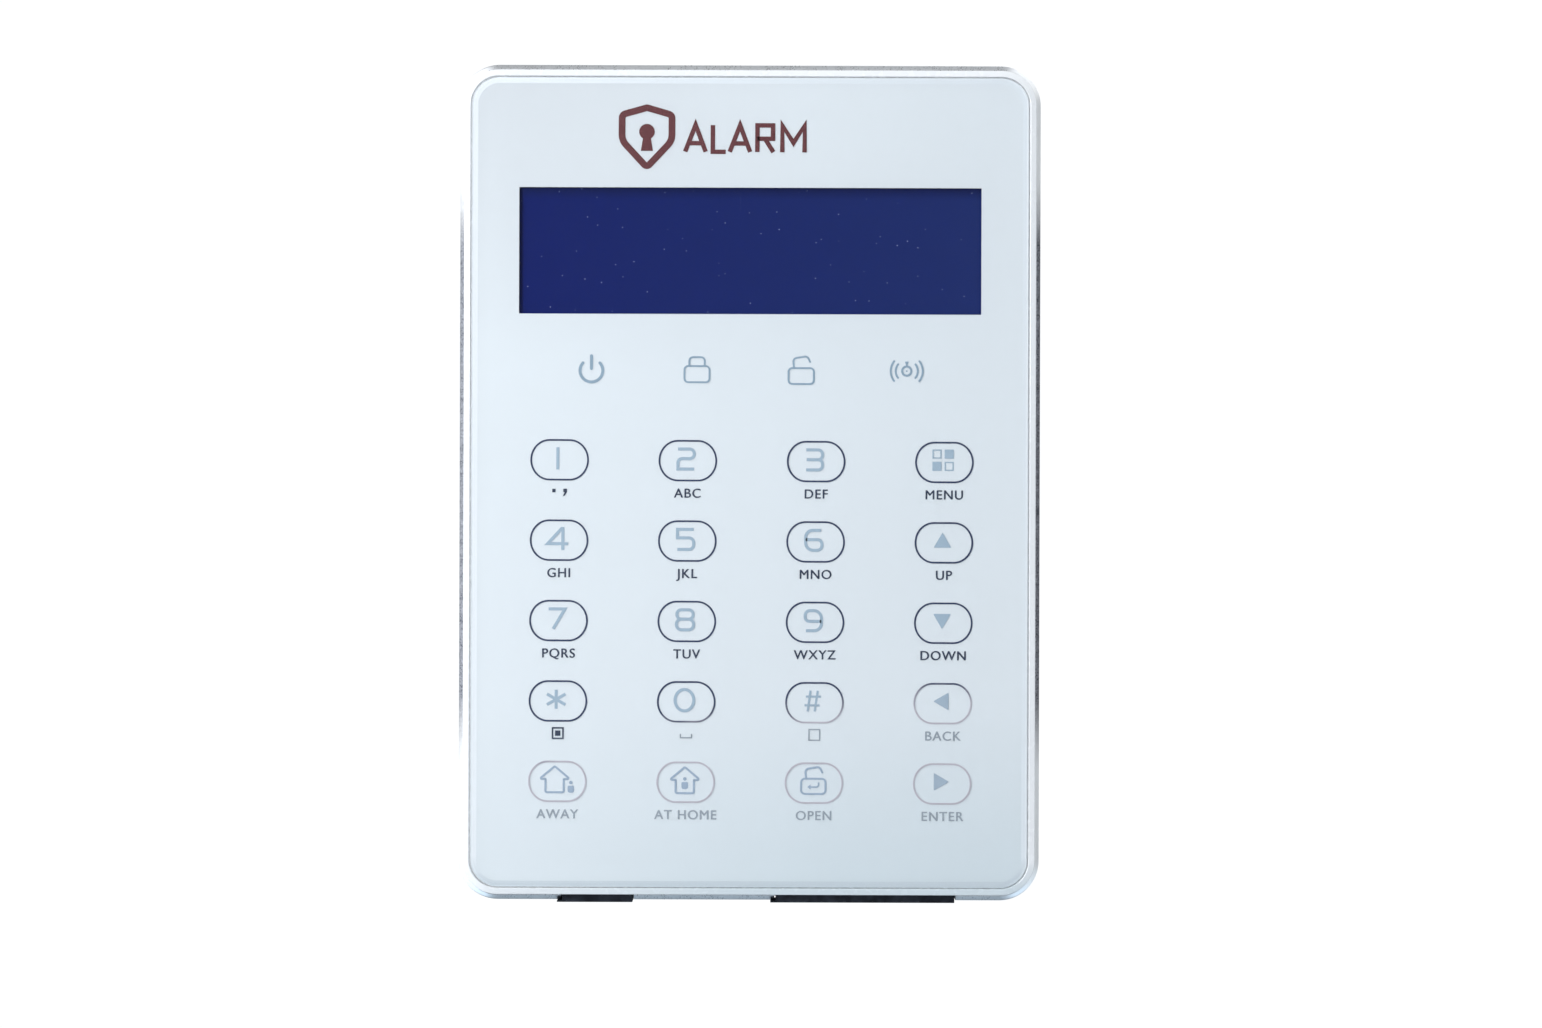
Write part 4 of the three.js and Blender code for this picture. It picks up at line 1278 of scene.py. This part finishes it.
def draw_person(layer, place, width):
    """A round head over a rounded body."""
    half = width / 2
    layer.fill(arc(0.4, 0, 345, 23, (0, 1.4)), place)
    body = [(-half, 0.7), (-half, -0.9), (half, -0.9), (half, 0.7)]
    layer.fill(rounded_path(body, [0.3, 0.5, 0.5, 0.3], closed=True), place)


def draw_padlock(layer, place, width, height, line, is_open):
    """A rounded body below a shackle, which stands lifted at one side when open."""
    half = width / 2
    body = rounded_path([(-half, 0), (half, 0), (half, -height), (-half, -height)], 0.85, closed=True)
    layer.stroke(body, place, line, closed=True)
    if is_open:
        shackle = [(-1.62, 0.05), (-1.86, 2.15), (1.4, 2.68), (1.98, 1.42)]
    else:
        shackle = [(-1.73, 0), (-1.73, 2.0), (1.73, 2.0), (1.73, 0)]
    layer.stroke(rounded_path(shackle, [0, 0.85, 0.85, 0]), place, line, round_ends=is_open)


def draw_return_arrow(layer, place):
    path = rounded_path([(1.18, 0.75), (1.18, -0.32), (-0.75, -0.32)], [0, 0.55, 0])
    layer.stroke(path, place, 0.36)
    layer.fill([(-1.35, -0.32), (-0.6, 0.25), (-0.6, -0.89)], place)


def draw_power(layer, place):
    half_gap = 48
    ring = arc(2.56, 90 + half_gap, 450 - half_gap, 40, (0, -0.36))
    layer.stroke(ring, place, 0.68, round_ends=True)
    layer.stroke([(0, 2.95), (0, 0.1)], place, 0.7, round_ends=True)


def draw_signal(layer, place):
    """A small round device sending waves to both sides."""
    layer.stroke(arc(1.03, 0, 352, 44), place, 0.49, closed=True)
    layer.fill(arc(0.2, 0, 330, 11), place)
    layer.fill([(-0.15, 1.2), (0.15, 1.2), (0.42, 2.15), (-0.42, 2.15)], place)
    reach = 38
    for facing in (0, 180):
        for radius in (2.47, 3.6):
            wave = arc(radius, facing - reach, facing + reach)
            layer.stroke(wave, place, 0.46, round_ends=True)


def print_key_outlines():
    layer = Print()
    outline = key_outline()
    for column in range(KEY_COLUMNS):
        for row in range(KEY_ROWS):
            layer.stroke(outline, key_place(column, row), KEY_LINE, closed=True)
    return layer.settle("key_outlines", ink("navy_line", (18, 36, 76), (174, 170, 180)))


def print_key_legends():
    """Digits, signs and small pictures inside the keys."""
    layer = Print()
    for number in range(1, 10):
        column, row = (number - 1) % 3, (number - 1) // 3
        draw_digit(layer, str(number), key_place(column, row) + LEGEND_SHIFT)
    draw_star(layer, key_place(0, 3) + LEGEND_SHIFT)
    draw_zero(layer, key_place(1, 3) + LEGEND_SHIFT)
    draw_hash(layer, key_place(2, 3) + LEGEND_SHIFT)
    draw_panes(layer, key_place(3, 0) + ICON_SHIFT)
    for row, quarter_turns in ((1, 0), (2, 2), (3, 1), (4, 3)):
        draw_arrow(layer, key_place(3, row) + ICON_SHIFT, quarter_turns)
    return layer.settle("key_legends", ink("grey_legend", (149, 169, 186), (152, 168, 184)))


def print_mode_pictures():
    """The bottom row's house and padlock pictures."""
    layer = Print()
    away = key_place(0, 4) + Vector((-0.62, 0.3)) * MM
    draw_house(layer, away)
    draw_person(layer, away + Vector((3.65, -1.95)) * MM, 1.4)
    home = key_place(1, 4) + Vector((-0.2, 0.3)) * MM
    draw_house(layer, home)
    draw_person(layer, home + Vector((0, -0.95)) * MM, 1.5)
    release = key_place(2, 4) + Vector((-0.14, 0.99)) * MM
    draw_padlock(layer, release, 5.46, 3.42, 0.46, is_open=True)
    draw_return_arrow(layer, release + Vector((0, -1.55)) * MM)
    return layer.settle("mode_pictures", ink("blue_picture", (138, 158, 180), (146, 163, 183)))


def print_status_icons():
    """Power, locked, unlocked and signal, each in front of its lamp."""
    layer = Print()
    places = [centre_of(f"status_led_{index}") + STATUS_SHIFT for index in range(1, 5)]
    draw_power(layer, places[0])
    draw_padlock(layer, places[1] + Vector((0, 0.81)) * MM, 5.62, 3.63, 0.43, is_open=False)
    draw_padlock(layer, places[2] + Vector((0, 0.51)) * MM, 5.68, 3.56, 0.44, is_open=True)
    draw_signal(layer, places[3])
    return layer.settle("status_icons", ink("grey_icon", (131, 153, 171), (131, 153, 171)))


KEY_LABELS = (
    (None, "ABC", "DEF", "MENU"),
    ("GHI", "JKL", "MNO", "UP"),
    ("PQRS", "TUV", "WXYZ", "DOWN"),
    (None, None, None, "BACK"),
    ("AWAY", "AT HOME", "OPEN", "ENTER"),
)


def print_key_labels():
    """Letters below the digits, plain words below the other keys and three small signs."""
    layer = Print()
    for row, words in enumerate(KEY_LABELS):
        for column, word in enumerate(words):
            if word:
                layer.text(word, key_place(column, row) + LABEL_DROP, LABEL_CAP_HEIGHT)
    draw_stop_and_comma(layer, key_place(0, 0) + LABEL_DROP)
    draw_small_signs(layer)
    return layer.settle("key_labels", ink("navy_label", (22, 38, 66), (142, 151, 161)))


def draw_stop_and_comma(layer, place):
    layer.fill([(-1.6, -0.1), (-0.85, -0.1), (-0.85, 0.7), (-1.6, 0.7)], place)
    comma = [
        (0.9, 0.75), (0.9, -0.05), (1.2, -0.05), (0.75, -0.95), (1.2, -0.8), (1.7, 0.0), (1.7, 0.75),
    ]
    layer.fill(comma, place)


def draw_small_signs(layer):
    """A filled box, a space mark and an empty box, below the star, zero and hash keys."""
    def square(half):
        return [(-half, -half), (half, -half), (half, half), (-half, half)]
    star, zero, box = (key_place(column, 3) + LABEL_DROP for column in range(3))
    layer.stroke(square(1.18), star, 0.35, closed=True)
    layer.fill(square(0.6), star)
    layer.stroke([(-1.25, 0.0), (-1.25, -0.85), (1.25, -0.85), (1.25, 0.0)], zero, SIGN_LINE)
    layer.stroke(square(1.2), box, SIGN_LINE, closed=True)


def draw_word(layer, word, middle):
    """Plain capitals drawn with one even line, set side by side about a middle."""
    half = WORD_CAP_HEIGHT / 2
    widths = {"A": 4.6, "L": 2.9, "R": 3.7, "M": 5.0}
    lines = {
        "A": [[(0, -half), (2.3, half), (4.6, -half)], [(0.9, -1.1), (3.7, -1.1)]],
        "L": [[(0, half), (0, -half), (2.9, -half)]],
        "R": [[(0, -half), (0, half), (3.5, half), (3.5, 0), (0, 0)], [(1.7, 0), (3.6, -half)]],
        "M": [[(0, -half), (0, half), (2.5, -0.9), (5.0, half), (5.0, -half)]],
    }
    gap = 1.9
    closer = {"LA": 1.0, "AR": 0.3, "AL": 0.3}
    gaps = [gap - closer.get(word[index:index + 2], 0) for index in range(len(word))]
    total = sum(widths[letter] for letter in word) + sum(gaps[:-1])
    x = -total / 2
    for letter, space in zip(word, gaps):
        for line in lines[letter]:
            layer.stroke([(x + across, up) for across, up in line], middle, WORD_LINE)
        x += widths[letter] + space


def print_emblem():
    """A plain shield with a keyhole beside a plain word, in dark red."""
    layer = Print()
    half, shield_line = 5.6, 1.5
    shield = [(0, 6.6), (-half, 5.0), (-half, -0.8), (0, -6.8), (half, -0.8), (half, 5.0)]
    outline = rounded_path(shield, [0.6, 1.0, 3.2, 0.8, 3.2, 1.0], closed=True)
    layer.stroke(outline, EMBLEM_PLACE, shield_line, closed=True)
    layer.fill(arc(1.75, 0, 350, 35, (0, 1.2)), EMBLEM_PLACE)
    layer.fill([(-0.75, 0.6), (-1.35, -3.1), (1.35, -3.1), (0.75, 0.6)], EMBLEM_PLACE)
    draw_word(layer, "ALARM", WORD_PLACE)
    return layer.settle("emblem", dark_red_ink())


# ---- Studio -----------------------------------------------------------------

FLOOR_HEIGHT = -155 * MM
TWIN_SHARE = 1.12
ROOM_LIGHT = 0.42
LEFT_EXTRA = 0.36
RIGHT_LESS = 0.24
BEHIND_LESS = 0.34
DIAGONAL_EXTRA = 1.1
BACKDROP_LIGHT = 1.05
CAMERA_DISTANCE = 1.2
CAMERA_SHIFT = Vector((4.82, -7.06)) * MM
CAMERA_ROLL = math.radians(0.17)


def floor():
    """A plain pale floor below the panel, seen only from above."""
    bm = bmesh.new()
    half, front, back = 0.75, -1.0, 0.29
    corners = [(-half, front), (half, front), (half, back), (-half, back)]
    bm.faces.new([bm.verts.new((x, y, FLOOR_HEIGHT)) for x, y in rounded_path(corners, 0.1, True)])
    surface = Surface("studio_floor", roughness=0.7)
    surface.tint(surface.noise(0.2), (198, 202, 208), (206, 209, 213))
    surface.set("Alpha", surface.minus(1.0, surface.node("NewGeometry")["Backfacing"]))
    made = object_of("studio_floor", bm, surface.material)
    if made.data.polygons[0].normal.z < 0:
        made.data.flip_normals()
    made.visible_glossy = False


def soft_box(name, place, size, power, tint=(1, 1, 1), aim=(0, -0.02, 0)):
    """A square area light aimed at the panel."""
    data = bpy.data.lights.new(name, "AREA")
    data.shape = "SQUARE"
    data.size = size
    data.energy = power
    data.color = tint
    light = bpy.data.objects.new(name, data)
    light.location = place
    light.rotation_euler = (Vector(aim) - Vector(place)).to_track_quat("-Z", "Y").to_euler()
    bpy.context.scene.collection.objects.link(light)
    return light


def studio_world():
    """White to the camera. To the object, a grey room that is light on its left, dark on its
    right and behind the camera, bluish below, and bright along the four diagonals."""
    world = bpy.data.worlds.new("studio")
    world.use_nodes = True
    bpy.context.scene.world = world
    nodes = Nodes(world.node_tree)

    def rising(value, low, high):
        return nodes.math("DIVIDE", nodes.minus(value, low), high - low, clamp=True)

    direction = nodes.node("TexCoord")["Generated"]
    x, y, z = (nodes.split(direction, axis) for axis in "XYZ")
    room = ROOM_LIGHT
    for place, change in (
        (rising(nodes.times(x, -1.0), 0.4, 0.85), LEFT_EXTRA),
        (rising(x, 0.1, 0.6), -RIGHT_LESS),
        (rising(nodes.times(y, -1.0), 0.86, 0.97), -BEHIND_LESS),
        (rising(nodes.math("ABSOLUTE", nodes.times(x, z)), 0.16, 0.3), DIAGONAL_EXTRA),
    ):
        room = nodes.plus(room, nodes.times(place, change))
    seen = nodes.node("LightPath")["Is Camera Ray"]
    backdrop = nodes.times(seen, BACKDROP_LIGHT)
    background = world.node_tree.nodes["Background"].inputs
    nodes.feed(background["Strength"], nodes.plus(backdrop, nodes.times(nodes.minus(1.0, seen), room)))
    below = rising(nodes.times(z, -1.0), 0.2, 0.8)
    nodes.feed(background["Color"], nodes.mix(below, (0.975, 0.99, 1.0, 1.0), (0.72, 0.87, 1.0, 1.0)))


def camera():
    """Square to the glass, a little right of and below its centre, turned a hair."""
    data = bpy.data.cameras.new("camera")
    data.lens = 125
    data.sensor_width = 36
    data.clip_start = 0.05
    made = bpy.data.objects.new("camera", data)
    place = Vector((CAMERA_SHIFT.x, FOREMOST - CAMERA_DISTANCE, CAMERA_SHIFT.y))
    upright = Matrix.Rotation(math.pi / 2, 4, "X")
    made.matrix_world = Matrix.Translation(place) @ upright @ Matrix.Rotation(CAMERA_ROLL, 4, "Z")
    bpy.context.scene.collection.objects.link(made)
    bpy.context.scene.camera = made


def receive(light, pieces, state):
    """Makes a light shine only on the given pieces, or on all but them."""
    receivers = bpy.data.collections.new(f"{light.name}_receivers")
    for piece in pieces:
        receivers.objects.link(piece)
    for member in receivers.collection_objects:
        member.light_linking.link_state = state
    light.light_linking.receiver_collection = receivers


def studio(glass, behind_glass):
    """Each front light has a twin that reaches what lies behind the glass, as the glass itself
    is kept free of the lights' mirror images."""
    camera()
    floor()
    studio_world()
    for name, place, size, power, tint in (
        ("key_light", (-0.54, -0.64, 0.23), 0.4, 3.98, (1.0, 0.992, 0.985)),
        ("fill_light", (0.9, -1.2, 0.1), 0.8, 1.8, (0.95, 0.98, 1.0)),
    ):
        receive(soft_box(name, place, size, power, tint), [glass], "EXCLUDE")
        twin = soft_box(f"{name}_twin", place, size, TWIN_SHARE * power, tint)
        receive(twin, behind_glass, "INCLUDE")
    soft_box("back_light", (0.5, 1.1, 0.6), 0.8, 3.5, aim=(0, 0, 0))
    bpy.context.scene.view_settings.view_transform = "Standard"


# ---- Assembly ---------------------------------------------------------------


def build_casing():
    frame_moulding()
    side_band()
    port_cover("power_port_cover")
    port_cover("terminal_cover")
    grommet()


def build_inside():
    for node, edge in EDGE_OF_NODE.items():
        refined(node, edge * MM)
    for index in range(1, 5):
        cross_screw(f"case_screw_{index}", 2.7 * MM, 1.7 * MM, 1.3 * MM, points_back=True)
        cross_screw(f"lcd_screw_{index}", 1.9 * MM, 1.2 * MM, 0.9 * MM, points_back=True)
        cross_screw(f"board_screw_{index}", 2.2 * MM, 1.4 * MM, 1.0 * MM, points_back=False)
    for index in range(1, 9):
        terminal_screw(f"terminal_screw_{index}")
    capacitor("capacitor_large")
    capacitor("capacitor_small")
    sounder()
    plunger()
    spring()


def dress_film():
    """The printed film keeps its CAD shape and takes the lacquer finish."""
    film = frame["nodes"]["print_film"]
    film.data.materials.clear()
    film.data.materials.append(material_of("print_film"))
    return film


def build_print():
    return [
        print_key_outlines(),
        print_key_legends(),
        print_mode_pictures(),
        print_status_icons(),
        print_key_labels(),
        print_emblem(),
    ]


build_casing()
build_inside()
behind_glass = [dress_film(), bpy.data.objects["lcd_glass_finished"], *build_print()]
studio(glass_front(), behind_glass)
